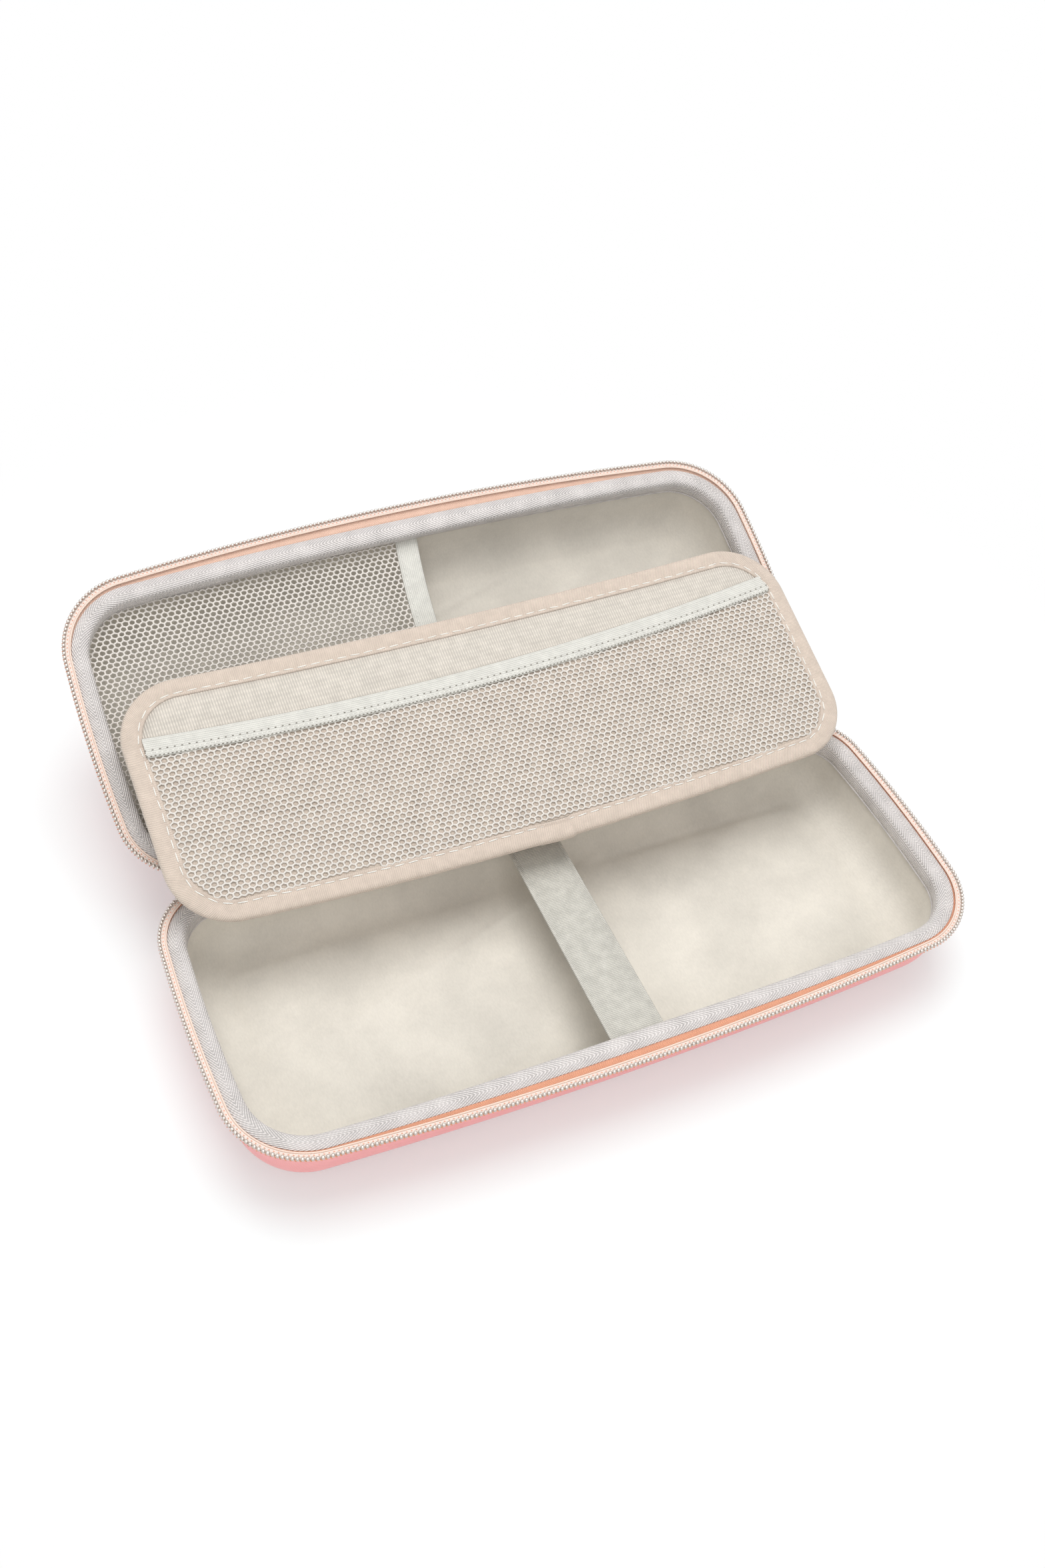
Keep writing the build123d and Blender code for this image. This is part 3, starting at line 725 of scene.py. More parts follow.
def finish(name):
    """Finishes of the case, each built once from the colours in the panel."""
    if name in MATERIALS:
        return MATERIALS[name]
    colours = bpy.context.scene.case_colours

    def pair(colour, spread=0.72):
        return tuple(c * spread for c in colour), tuple(min(1.0, c * 1.08) for c in colour)

    makers = {
        "shell": lambda: cloth("Outer Cloth", "canvas", *pair(colours.shell, 0.94), 0.55,
                               0.02 * MM, "Object", 0.15, [("Thread", 0.5 * MM)]),
        "lining": lambda: cloth("Velvet Lining", "velvet", *pair(colours.lining, 0.72), 0.9,
                                0.16 * MM, "Object", 0.5, contrast=(0.26, 0.7)),
        "herringbone": lambda: cloth("Herringbone Tape", "herringbone",
                                     *pair(colours.rim_tape, 0.52), 0.55, 0.34 * MM, "UV", 0.2,
                                     contrast=(0.14, 0.58)),
        # Painted shade: the base's zip tape is the tape's peach deepened to orange, as shade and bounced
        # light in the gap beside the teeth.
        "zip_tape": lambda: cloth("Peach Zip Tape With Painted Shade", "herringbone", *pair(colours.zip_tape, 0.72),
                                  0.7, 0.15 * MM, "UV", 0.2, [("Column", 0.8 * MM),
                                                              ("Rib", 0.75 * MM),
                                                              ("Turn Down", 1.0)]),
        "welt": lambda: thread("Zip Welt", *pair(colours.welt, 0.92)),
        # Painted light: the lid's copy of the zip tape, made paler as if it caught more light than the
        # base's.
        "zip_tape_painted_lit": lambda: cloth("Zip Tape With Painted Light", "herringbone",
                                      *pair(colours.zip_tape_painted_lit, 0.78), 0.7, 0.15 * MM, "UV",
                                      0.2, [("Column", 0.8 * MM), ("Rib", 0.75 * MM),
                                            ("Turn Down", 1.0)]),
        "teeth": lambda: metal("Champagne Teeth", tone(176, 168, 162), tone(226, 218, 210), 0.25,
                               900.0),
        "slider": lambda: metal("Slider Metal", tone(170, 150, 140), tone(225, 208, 198), 0.22,
                                400.0),
        "loops": lambda: thread("Orange Thread", *pair(colours.loops, 0.9)),
        "dots": lambda: thread("Orange Dots", *pair(colours.dots, 0.85)),
        "zip_ground": lambda: cloth("Zip Ground", "ribs", *pair(colours.zip_ground, 0.9), 0.7,
                                    0.06 * MM, "UV", 0.2, [("Rib", 0.5 * MM)]),
        "tape_cord": lambda: thread("Tape Edge Thread", *pair(colours.rim_tape, 0.6)),
        "needle": lambda: thread("Dark Thread", *pair(colours.needle, 0.8)),
        "stitch": lambda: thread("Cream Thread", *pair(colours.stitch, 0.85)),
        "spine": lambda: cloth("Spine Cloth", "canvas", *pair(colours.zip_tape, 0.8), 0.7,
                               0.08 * MM, "Object", 0.2),
        "facing": lambda: cloth("Divider Facing", "ribs", *pair(colours.facing, 0.72), 0.8,
                                0.16 * MM, "Object", 0.2, [("Rib", 1.0 * MM),
                                                           ("Loop", 1.9 * MM)]),
        # Painted shade: a darker canvas laid under the divider's net, for the shade in its holes.
        "shade_under_net": lambda: cloth("Painted Shade Under Net", "canvas", *pair(colours.shade_under_net, 0.8),
                                     0.8, 0.12 * MM, "Object", 0.1, [("Thread", 0.8 * MM)]),
        "binding": lambda: cloth("Divider Binding", "ribs", *pair(colours.binding, 0.76), 0.7,
                                 0.14 * MM, "UV", 0.25, [("Slant", 0.55), ("Rib", 0.75 * MM)]),
        "net": lambda: thread("Net Thread", *pair(colours.net, 0.8)),
        "band": lambda: cloth("Elastic Band", "ribs", *pair(colours.band, 0.74), 0.65, 0.16 * MM,
                              "UV", 0.2, [("Rib", 0.8 * MM), ("Loop", 0.6 * MM),
                                          ("Lengthwise", 1.0)]),
        "strap": lambda: cloth("Elastic Strap", "ribs", *pair(colours.strap, 0.66), 0.75,
                               0.16 * MM, "UV", 0.2, [("Rib", 0.7 * MM), ("Loop", 1.0 * MM),
                                                     ("Lengthwise", 0.0)]),
    }
    MATERIALS[name] = makers[name]()
    return MATERIALS[name]


# ---- what a user may change -------------------------------------------------------------------
class CaseSizes(bpy.types.PropertyGroup):
    """Sizes of the fine work"""
    tooth_pitch: bpy.props.FloatProperty(
        name="Tooth Pitch", description="Spacing of the zip's teeth", default=1.6 * MM,
        unit="LENGTH", min=1.0 * MM)
    net_pitch: bpy.props.FloatProperty(
        name="Net Pitch", description="Spacing of the holes in the nets", default=2.2 * MM,
        unit="LENGTH", min=1.5 * MM)
    net_thread: bpy.props.FloatProperty(
        name="Net Thread", description="Thickness of the nets' thread", default=0.8 * MM,
        unit="LENGTH", min=0.2 * MM)
    stitch_pitch: bpy.props.FloatProperty(
        name="Stitch Pitch", description="Spacing of the stitches on the divider's binding",
        default=5.2 * MM, unit="LENGTH", min=2.0 * MM)
    dent: bpy.props.FloatProperty(
        name="Dents", description="How far the velvet lining strays from flat",
        default=0.7 * MM, unit="LENGTH", min=0.0)


def colour_property(label, words, value):
    return bpy.props.FloatVectorProperty(name=label, description=words, default=value,
                                         subtype="COLOR", size=3, min=0.0, max=1.0)


class CaseColours(bpy.types.PropertyGroup):
    """Colours of the cloths, tapes and threads"""
    shell: colour_property("Outside", "Cloth on the outside", tone(253, 168, 168))
    lining: colour_property("Lining", "Velvet inside", tone(223, 217, 206))
    rim_tape: colour_property("Rim Tape", "Herringbone tape inside the rims",
                              tone(236, 230, 227))
    # The tape's peach, deepened to orange as painted shade for the gap beside the teeth; the spine cloth and
    # tape tails take it too.
    zip_tape: colour_property("Zip Tape", "Knitted tape under the teeth", tone(251, 176, 142))
    # Painted light: a paler copy of the zip tape's colour for the lid, as if lit more.
    zip_tape_painted_lit: colour_property("Lid Zip Tape, Painted Lit", "Zip tape where it lies open on the lid",
                                  tone(253, 208, 186))
    welt: colour_property("Welt", "Pale line beside the teeth", tone(252, 224, 208))
    loops: colour_property("Loops", "Thread loops along the zip", tone(248, 184, 158))
    dots: colour_property("Dots", "Tiny stitches on the zip's tape", tone(246, 172, 138))
    zip_ground: colour_property("Zip Ground", "Tape that the teeth stand on",
                                tone(242, 226, 216))
    stitch: colour_property("Stitching", "Sewing thread", tone(250, 247, 240))
    needle: colour_property("Needle Marks", "Dark stitches on the elastic bands",
                            tone(132, 126, 116))
    facing: colour_property("Facing", "Cloth on the divider", tone(224, 216, 205))
    # Painted shade: darker than the facing, seen through the net's holes.
    shade_under_net: colour_property("Painted Shade Under Net", "Cloth behind the net", tone(204, 190, 176))
    binding: colour_property("Binding", "Knitted edge of the divider", tone(226, 209, 194))
    net: colour_property("Net", "Thread of the nets", tone(242, 236, 228))
    band: colour_property("Band", "Elastic along the nets", tone(232, 230, 222))
    strap: colour_property("Strap", "Elastic across the base", tone(220, 217, 207))


def tree_named(name):
    """Each geometry node tree is built once."""
    found = bpy.data.node_groups.get(name)
    return found or {"Row Along Path": row_tree, "Hexagonal Net": net_tree}[name]()


def row_of(name, shape, points, closed, pitch, material, place, **values):
    """A row of small shapes along a path in a half's or the divider's own space."""
    settings = {"Pitch": pitch, "Shape": shape, "Turn": 0.0, "Unevenness": 0.0, "Seed": 3}
    settings.update(values)
    return grown(name, tree_named("Row Along Path"), path_object(points, closed), settings,
                 material, place)


# ---- the two halves -----------------------------------------------------------------------------
def wall_profile(inset, top, floor, radius, steps=8):
    """(inset, depth) pairs down a drafted wall and round its floor edge."""
    lean_at_floor = inset + floor * math.tan(DRAFT)
    # The floor edge is an arc that leaves the wall at the draft angle and meets the floor flat.
    turn = math.pi / 2 + DRAFT
    run = radius * math.tan((math.pi - turn) / 2)
    centre = (lean_at_floor + run, floor - radius)
    pairs = []
    wall_end = centre[1] + radius * math.sin(-DRAFT) * -1
    for index in range(steps):
        depth = top + (wall_end - top) * index / steps
        pairs.append((inset + depth * math.tan(DRAFT), depth))
    for index in range(steps + 1):
        angle = math.pi - DRAFT - (math.pi / 2 - DRAFT) * index / steps
        pairs.append((centre[0] + radius * math.cos(angle), centre[1] + radius * math.sin(angle)))
    return pairs


TAPE_SWELL = 1.3 * MM
TAPE_FRONT_SWELL = 1.7 * MM
TAPE_SWELL_REACH = 125.0 * MM
HALF_SPINE = LENGTH / 2 - WIDTH / 2
MIDDLE_Y = HINGE_GAP + WIDTH / 2


def build_shell(half):
    """Pressed shell: outer cloth, rolled rim and a closed inner wall."""
    outline = case_outline(SHELL_DRAWN_IN)
    top = 3.5 * MM
    outside = wall_profile(SHELL_INSET, top, HALF_HEIGHT, EDGE_RADIUS, 12)
    inside = wall_profile(SHELL_INSET + SHELL_WALL, top, HALF_HEIGHT - SHELL_WALL,
                          EDGE_RADIUS - SHELL_WALL, 8)
    rim = [(SHELL_INSET + 2.4 * MM, top), (SHELL_INSET + 0.5 * MM, top + 0.05 * MM),
           (SHELL_INSET + 0.15 * MM, top + 0.3 * MM)]
    outer_rows = profile_rows(outline, outside[1:])
    inner_rows = profile_rows(outline, inside)
    outer_floor = to_middle(outer_rows[-1], HALF_SPINE, MIDDLE_Y, 10)
    inner_floor = to_middle(inner_rows[-1], HALF_SPINE, MIDDLE_Y, 6)
    rows = inner_floor[::-1] + inner_rows[::-1] + profile_rows(outline, rim)
    rows += outer_rows + outer_floor
    piece = skin(f"{half}_shell_cloth", rows, finish("shell"), MOUTHS[half])
    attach(piece, half)
    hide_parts(f"{half}_shell")


def lining_drop(point, half, dent):
    """How far the velvet stands off its foam: dents, soft waves and a few folds."""
    seed = 3.7 if half == "base" else 11.2
    wide = noise.noise(Vector((point.x * 22, point.y * 30, seed)))
    fine = noise.noise(Vector((point.x * 75, point.y * 95, seed + 5)))
    fold = noise.noise(Vector((point.x * 14 + point.y * 40, point.y * 9, seed + 9)))
    crease = math.exp(-((fold * 14) ** 2))
    return dent * (1.1 * wide + 0.45 * fine - 0.8 * crease)


def build_lining(half):
    """Velvet glued into the half, with a dented floor."""
    outline = case_outline(SHELL_DRAWN_IN)
    sizes = bpy.context.scene.case_sizes
    profile = wall_profile(INNER_INSET, 3.6 * MM, INNER_FLOOR, EDGE_RADIUS - SHELL_WALL - LINING)
    walls = profile_rows(outline, profile)
    floor = to_middle(walls[-1], HALF_SPINE, MIDDLE_Y, 26)
    rows = floor[::-1] + walls[::-1]
    floor_count = len(floor) + 6
    for index, row in enumerate(rows):
        weight = ease((floor_count - index) / 8) if index > floor_count - 8 else 1.0
        foot = math.exp(-((index - len(floor) + 1) / 0.9) ** 2)
        for point in row:
            tuck = 0.5 + noise.noise(Vector((point.x * 16, point.y * 16, 2.0)))
            point.z += lining_drop(point, half, sizes.dent) * weight + foot * tuck * 0.9 * MM
    piece = skin(f"{half}_velvet", rows, finish("lining"), MOUTHS[half], thickness=0.5 * MM)
    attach(piece, half)
    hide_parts(f"{half}_lining")


def leans_in(outline, inset, height, share, spread=0.0):
    """Row of the rim tape; the soft wall under it swells inwards, most along the free side."""
    row = []
    for point, out in outline:
        middle = ease(1 - abs(point.x) / TAPE_SWELL_REACH) if point.y > MIDDLE_Y else 0.0
        swell = share * (TAPE_SWELL + TAPE_FRONT_SWELL * middle) - spread * (1 - middle)
        row.append(Vector((point.x - out.x * (inset + swell), point.y - out.y * (inset + swell),
                           height)))
    return row


def build_rim_tape(half):
    """Herringbone tape: flat over the seam, turned down the inner wall, with a corded edge."""
    outline = case_outline(SHELL_DRAWN_IN)
    lean = math.tan(DRAFT)
    low = RIM_TAPE_DEPTH - 0.2 * MM
    # inset, depth, share of the swelling, and how far it spreads outwards at the sides
    face = [(RIM_TAPE_EDGE, RIM_DROP + 0.62 * MM, 0, 0.6 * MM),
            (RIM_TAPE_EDGE + 0.05 * MM, RIM_DROP + 0.2 * MM, 0, 0.6 * MM),
            (RIM_TAPE_EDGE + 0.35 * MM, RIM_DROP + 0.02 * MM, 0, 0.6 * MM),
            (5.4 * MM, RIM_DROP - 0.1 * MM, 0.3),
            (6.6 * MM, RIM_DROP - 0.05 * MM, 0.8), (7.4 * MM, RIM_DROP + 0.15 * MM, 1),
            (8.0 * MM, RIM_DROP + 0.65 * MM, 1), (8.35 * MM, RIM_DROP + 1.4 * MM, 1),
            (TAPE_INSET + 5.5 * MM * lean, 5.5 * MM, 0.85),
            (TAPE_INSET + 7.5 * MM * lean, 7.5 * MM, 0.5),
            (TAPE_INSET + low * lean, low, 0)]
    back = [(TAPE_INSET + low * lean - 0.5 * MM, low, 0),
            (INNER_INSET + 0.3 * MM, RIM_DROP + 0.75 * MM, 0)]
    rows = [leans_in(outline, *place) for place in face + back]
    piece = skin(f"{half}_herringbone", rows, finish("herringbone"), MOUTHS[half],
                 closed_across=True)
    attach(piece, half)
    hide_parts(f"{half}_rim_tape")
    cord_profile = [(TAPE_INSET + low * lean + 0.45 * MM * math.cos(angle),
                     low + 0.45 * MM * math.sin(angle))
                    for angle in (index * math.pi / 3 for index in range(6))]
    cord = skin(f"{half}_tape_edge_cord", profile_rows(outline, cord_profile), finish("tape_cord"),
                MOUTHS[half], closed_across=True)
    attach(cord, half)


def build_zip_tape(half):
    """Knitted zip tape that shows as a bright strip, with a raised welt beside the teeth."""
    shell_line = case_outline(SHELL_DRAWN_IN)
    zip_line = case_outline()
    keep = [index for index, (p, _) in enumerate(zip_line)
            if not (p.y < HINGE_GAP + 1 * MM and abs(p.x) < CHAIN_END - 2 * MM)]
    inner = [shell_line[index] for index in keep]
    outer = [zip_line[index] for index in keep]
    gap = 2.5 * MM

    def rows_of(pairs):
        rows = []
        for share, inset, height in pairs:
            rows.append([
                Vector((a[0].x - a[1].x * gap * 1.9, a[0].y - a[1].y * gap * 1.9, height)).lerp(
                    Vector((b[0].x - b[1].x * inset, b[0].y - b[1].y * inset, height)), share)
                for a, b in zip(inner, outer)])
        return rows
    top = RIM_DROP + 0.25 * MM
    start = next(i for i in range(len(keep)) if keep[i] + 1 not in keep) + 1
    run = outer[start:] + outer[:start]
    strip = rows_of([(0.0, 0.0, 2.95 * MM), (1.0, 2.6 * MM, 2.95 * MM), (1.0, 2.7 * MM, 1.8 * MM),
                     (1.0, 3.35 * MM, top),
                     (0.5, 3.4 * MM, top + 0.1 * MM), (0.0, 0.0, top + 0.25 * MM)])
    strip = [row[start:] + row[:start] for row in strip]
    # Painted light and shade: the base's zip tape is painted shaded orange, the lid's painted paler as if
    # lit.
    piece = skin(f"{half}_peach_tape", strip,
                 finish("zip_tape" if half == "base" else "zip_tape_painted_lit"), MOUTHS[half],
                 closed_along=False, closed_across=True)
    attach(piece, half)
    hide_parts(f"{half}_zip_tape")
    ground = [(2.9, 2.9), (0.9, 2.8), (0.75, 2.3), (0.95, 1.85), (1.5, 1.6), (2.4, 1.5),
              (2.9, 1.6)]
    base = skin(f"{half}_zip_ground",
                profile_rows(run, [(inset * MM, depth * MM) for inset, depth in ground]),
                finish("zip_ground"), MOUTHS[half], closed_along=False, closed_across=True)
    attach(base, half)
    welt = [(3.15 * MM + 0.32 * MM * math.cos(angle), 1.5 * MM + 0.32 * MM * math.sin(angle))
            for angle in (index * math.pi / 3 for index in range(6))]
    edge = skin(f"{half}_welt", profile_rows(run, welt), finish("welt"), MOUTHS[half],
                closed_along=False, closed_across=True)
    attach(edge, half)
    return run


def build_zip_teeth(half, run):
    """Small rounded metal teeth along the zip, and the stitches that hold them."""
    sizes = bpy.context.scene.case_sizes
    tooth = rounded_shape("Tooth", 1.36 * MM, 1.4 * MM, 1.36 * MM, [
        (0.0, 0.35), (0.1, 0.66), (0.28, 0.92), (0.5, 1.0), (0.72, 0.92), (0.9, 0.66),
        (1.0, 0.35)], 10)
    line = inset_row(run, 0.85 * MM, 1.2 * MM)
    teeth = row_of(f"{half}_teeth", tooth, line, False, sizes.tooth_pitch, finish("teeth"),
                   MOUTHS[half])
    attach(teeth, half)
    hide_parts(f"{half}_zip_teeth")
    loop = rounded_shape("Loop", 1.15 * MM, 0.6 * MM, 0.6 * MM, [
        (0.0, 0.3), (0.2, 0.85), (0.5, 1.0), (0.8, 0.85), (1.0, 0.3)], 6)
    dot = rounded_shape("Dot", 0.6 * MM, 0.42 * MM, 0.3 * MM, [
        (0.0, 0.4), (0.3, 1.0), (0.7, 1.0), (1.0, 0.4)], 6)
    for label, shape, inset, depth, turn, colour in (
            ("edge_loops", loop, 0.62 * MM, 1.95 * MM, 0.9, "dots"),
            ("tape_dots", dot, 2.15 * MM, 1.46 * MM, 0.3, "loops")):
        row = row_of(f"{half}_{label}", shape, inset_row(run, inset, depth), False,
                     sizes.tooth_pitch, finish(colour), MOUTHS[half], Turn=turn,
                     Unevenness=0.12)
        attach(row, half)


class CASE_OT_half(bpy.types.Operator):
    """Build both halves: shell, velvet, tapes and zip"""
    bl_idname = "case.halves"
    bl_label = "Halves"

    def execute(self, context):
        for half in ("base", "lid"):
            build_shell(half)
            build_lining(half)
            build_rim_tape(half)
            run = build_zip_tape(half)
            build_zip_teeth(half, run)
        return {"FINISHED"}


# ---- hinge side -----------------------------------------------------------------------------------
def build_spine():
    """Cloth strip that joins the halves across the hinge."""
    profile = [(8.2, 3.2), (5.5, 3.15), (3.0, 3.1), (1.9, 2.0), (1.0, 0.85), (0.35, 0.6)]
    base = [(v * MM, d * MM) for v, d in profile]
    half_length = 104.0 * MM
    steps = 60
    rows = []
    for half, pairs in (("base", base), ("lid", base[::-1])):
        for v, d in pairs:
            side = 1 if half == "base" else -1
            rows.append([MOUTHS[half] @ Vector((side * (-half_length + 2 * half_length * i / steps),
                                                v, d)) for i in range(steps + 1)])
    piece = skin("spine_strip", rows, finish("spine"), Matrix(), closed_along=False,
                 thickness=0.5 * MM)
    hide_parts("spine_base_half", "spine_lid_half")
    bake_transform(piece)


def build_divider_strip():
    """Cloth strip that carries the divider, bent over at its pivot."""
    pivot = Vector(JOINTS["divider_hinge"]["pos_m"])
    rim = HINGE.y - HINGE_GAP
    base = [Vector((0, rim - 5.2 * MM, HINGE.z - RIM_DROP + 0.3 * MM)),
            Vector((0, rim - 8.0 * MM, HINGE.z - RIM_DROP + 0.35 * MM)),
            Vector((0, rim - 9.8 * MM, HINGE.z + 0.8 * MM)),
            Vector((0, rim - 11.6 * MM, pivot.z - 0.2 * MM)),
            Vector((0, rim - 16.5 * MM, pivot.z + 0.35 * MM))]
    panel = [DIVIDER @ Vector((0, 8.3 * MM, -3.8 * MM)), DIVIDER @ Vector((0, 6.2 * MM, -2.8 * MM)),
             DIVIDER @ Vector((0, 4.2 * MM, -BINDING / 2 - 0.2 * MM))]
    half_length, steps = 95.0 * MM, 50
    rows = [[Vector((-half_length + 2 * half_length * i / steps, p.y, p.z))
             for i in range(steps + 1)] for p in base + [pivot + Vector((0, 0.3 * MM, 0.5 * MM))]
            + panel]
    piece = skin("divider_strip", rows, finish("binding"), Matrix(), closed_along=False,
                 thickness=0.5 * MM)
    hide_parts("divider_strip_base", "divider_strip_panel")
    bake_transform(piece)


def dress_nodes(nodes, material):
    """Give carried-over CAD nodes their finish."""
    for name in nodes:
        node = frame["nodes"][name]
        node.data.materials.clear()
        node.data.materials.append(material)


class CASE_OT_hinge_side(bpy.types.Operator):
    """Build the spine and the divider's strip, give the sliders, pulls and zip stops their metal, and make
    the tape tails
    """
    bl_idname = "case.hinge_side"
    bl_label = "Hinge Side"

    def execute(self, context):
        build_spine()
        build_divider_strip()
        sides = ("left", "right")
        dress_nodes([f"slider_{side}" for side in sides], finish("slider"))
        dress_nodes([f"pull_{side}" for side in sides], finish("slider"))
        dress_nodes([f"{half}_zip_stop_{side}" for half in ("base", "lid") for side in sides],
                    finish("teeth"))
        for side in sides:
            node = f"zip_tail_{side}"
            low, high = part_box(node)
            rows = []
            for share in (i / 8 for i in range(9)):
                height = low.z + (high.z - low.z) * share
                rows.append([Vector((low.x + (high.x - low.x) * i / 6, high.y, height))
                             for i in range(7)])
            piece = skin(f"tape_tail_{side}", rows, finish("spine"), Matrix(),
                         closed_along=False, thickness=-0.6 * MM)
            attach(piece, "base")
            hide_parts(node)
        return {"FINISHED"}


# ---- divider -----------------------------------------------------------------------------------------
FACE_INSET = 6.6 * MM           # the faces' edges lie under the binding
OVERLAP_END = 9.6 * MM
BAND_LEFT = 79.2 * MM
BAND_RIGHT = 84.3 * MM
BAND_MIDDLE = 73.9 * MM
BAND_WIDTH = 7.8 * MM


def band_line(x, shift=0.0):
    """Far edge of the divider's band at one place along it, sagging between its ends."""
    share = x / (DIVIDER_LENGTH / 2)
    ends = (BAND_RIGHT + BAND_LEFT) / 2
    tilt = (BAND_RIGHT - BAND_LEFT) / 2 * share
    return BAND_MIDDLE + (ends - BAND_MIDDLE) * share * share + tilt - shift


def band_run(edge, shift, height, steps):
    """A line along the band, from where it meets the binding on the left to the right."""
    ends = []
    for side in (-1, 1):
        near = [p for p in edge if p.x * side > 0 and p.y > DIVIDER_WIDTH / 2]
        ends.append(min(near, key=lambda p: abs(p.y - band_line(p.x, shift))
                        + (1.0 if abs(p.x) < DIVIDER_LENGTH / 4 else 0.0)).x)
    left, right = ends
    return [Vector((x, band_line(x, shift), height))
            for x in (left + (right - left) * i / steps for i in range(steps + 1))]


def plate(name, outline, inset, height, material, rings=8):
    """Thin cloth on one side of the divider, facing away from its board."""
    row = inset_row(outline, inset, height)
    rows = [row] + to_middle(row, DIVIDER_LENGTH / 2 - DIVIDER_WIDTH / 2, DIVIDER_WIDTH / 2, rings)
    return skin(name, rows if height > 0 else rows[::-1], material, DIVIDER,
                thickness=0.3 * MM)


def build_divider_cloth():
    """The board's two cloth faces; the board itself is hidden between them."""
    outline = divider_outline()
    board = frame["nodes"]["divider_board"]
    level = BOARD / 2 + FACING
    top = plate("divider_face", outline, FACE_INSET, level, finish("facing"))
    under = plate("divider_back", outline, FACE_INSET, -level, finish("facing"))
    for piece, node in ((top, "divider_facing"), (under, "divider_backing")):
        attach(piece, "divider")
        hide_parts(node)
    dress_nodes([board.name], finish("facing"))


def overlap(place):
    """How much the binding's end, folded over its beginning, thickens the near edge."""
    if place.y > DIVIDER_WIDTH / 4 or place.x > OVERLAP_END:
        return 0.0
    return ease((place.x - OVERLAP_END + 18 * MM) / (14 * MM))


def build_binding():
    """Knitted binding folded round the edge, fuller outside, with its overlap and stitches."""
    outline = divider_outline()
    half = BINDING / 2
    over = [(7.7, 0.6), (7.6, 0.92), (7.2, 1.02), (6.7, 0.96), (6.2, 0.74), (5.7, 0.84),
            (4.9, 0.96), (3.4, 1.0), (2.0, 0.99), (0.9, 0.84), (0.25, 0.5)]
    bulge = over + [(0.0, 0.0)] + [(inset, -height) for inset, height in reversed(over)]
    pairs = [(inset * MM, share * half) for inset, share in bulge]
    pairs += [(6.9 * MM, -0.35 * half), (6.9 * MM, 0.35 * half)]
    rows = profile_rows(outline, pairs)
    for row in rows:
        for point, (place, out) in zip(row, outline):
            lap = overlap(place)
            point += Vector((out.x, out.y, 0)) * lap * 0.7 * MM
            point.z *= 1 + 0.22 * lap
    piece = skin("divider_bound_edge", rows, finish("binding"), DIVIDER, closed_across=True)
    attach(piece, "divider")
    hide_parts("divider_binding")
    sizes = bpy.context.scene.case_sizes
    stitch = rounded_shape("Stitch", 3.7 * MM, 0.5 * MM, 0.45 * MM, [
        (0.0, 0.3), (0.1, 0.8), (0.5, 1.0), (0.9, 0.8), (1.0, 0.3)], 6)
    for label, height in (("face", half * 0.86), ("back", -half * 0.86)):
        row = row_of(f"binding_stitches_{label}", stitch, inset_row(outline, 6.2 * MM, height),
                     True, sizes.stitch_pitch, finish("stitch"), DIVIDER, Unevenness=0.08)
        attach(row, "divider")


def build_divider_net():
    """Net pocket on the divider, its elastic band and the band's stitches."""
    sizes = bpy.context.scene.case_sizes
    outline = divider_outline()
    inside = inset_row(outline, 7.45 * MM, 0.0)
    area = [Vector((p.x, min(p.y, band_line(p.x, 2 * MM)))) for p in inside]
    held = [Vector((p.x, min(p.y, band_line(p.x, 2 * MM))))
            for p in inset_row(outline, 8.3 * MM, 0.0)]
    level = BOARD / 2 + FACING + 0.45 * MM
    place = DIVIDER @ Matrix.Translation((0, 0, level))
    # A darker sheet over the facing, under the net: painted shade for the net's holes.
    back = flat_area("divider_pocket_back", area, -0.35 * MM)
    back.data.transform(place)
    back.data.materials.append(finish("shade_under_net"))
    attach(back, "divider")
    net = grown("divider_net_threads", tree_named("Hexagonal Net"), flat_area("Area", held), {
        "Pitch": sizes.net_pitch, "Thread": sizes.net_thread, "Length": DIVIDER_LENGTH,
        "Width": DIVIDER_WIDTH}, finish("net"), place)
    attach(net, "divider")
    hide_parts("divider_net")
    edge = inset_row(outline, 7.3 * MM, 0.0)
    steps = 150
    profile = [(0.0, 0.0), (0.1, 0.55), (0.9, 0.8), (1.6, 0.62), (2.4, 0.82), (3.9, 0.88),
               (5.4, 0.82), (6.2, 0.62), (6.9, 0.8), (7.6, 0.55), (7.8, 0.0)]
    rows = [band_run(edge, shift * MM, (height + 0.3) * MM, steps) for shift, height in profile]
    band = skin("divider_elastic", rows[::-1], finish("band"), place, closed_along=False,
                closed_across=True)
    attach(band, "divider")
    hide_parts("divider_band")
    dot = rounded_shape("Needle Dot", 0.75 * MM, 0.42 * MM, 0.3 * MM, [
        (0.0, 0.4), (0.3, 1.0), (0.7, 1.0), (1.0, 0.4)], 6)
    for label, shift, height, pitch, colour in (
            ("needle_marks", 5.1 * MM, 1.2 * MM, 2.6 * MM, "needle"),
            ("edge_stitches", 7.35 * MM, 0.98 * MM, 1.5 * MM, "needle"),
            ("band_stitches", 6.3 * MM, 0.98 * MM, 1.9 * MM, "stitch")):
        line = band_run(edge, shift, height, steps)
        dots = row_of(f"divider_{label}", dot, line, False, pitch, finish(colour), place,
                      Unevenness=0.1)
        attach(dots, "divider")


class CASE_OT_divider(bpy.types.Operator):
    """Build the divider: its cloth, bound edge, net pocket and elastic"""
    bl_idname = "case.divider"
    bl_label = "Divider"

    def execute(self, context):
        build_divider_cloth()
        build_binding()
        build_divider_net()
        return {"FINISHED"}


# ---- strap and lid pocket -------------------------------------------------------------------------------
STRAP_WIDTH = 21.0 * MM
STRAP_X = -1.2 * MM
STRAP_SKEW = 2.6 * MM
STRAP_FRONT_DEPTH = 5.5 * MM
STRAP_BACK_DEPTH = 8.8 * MM


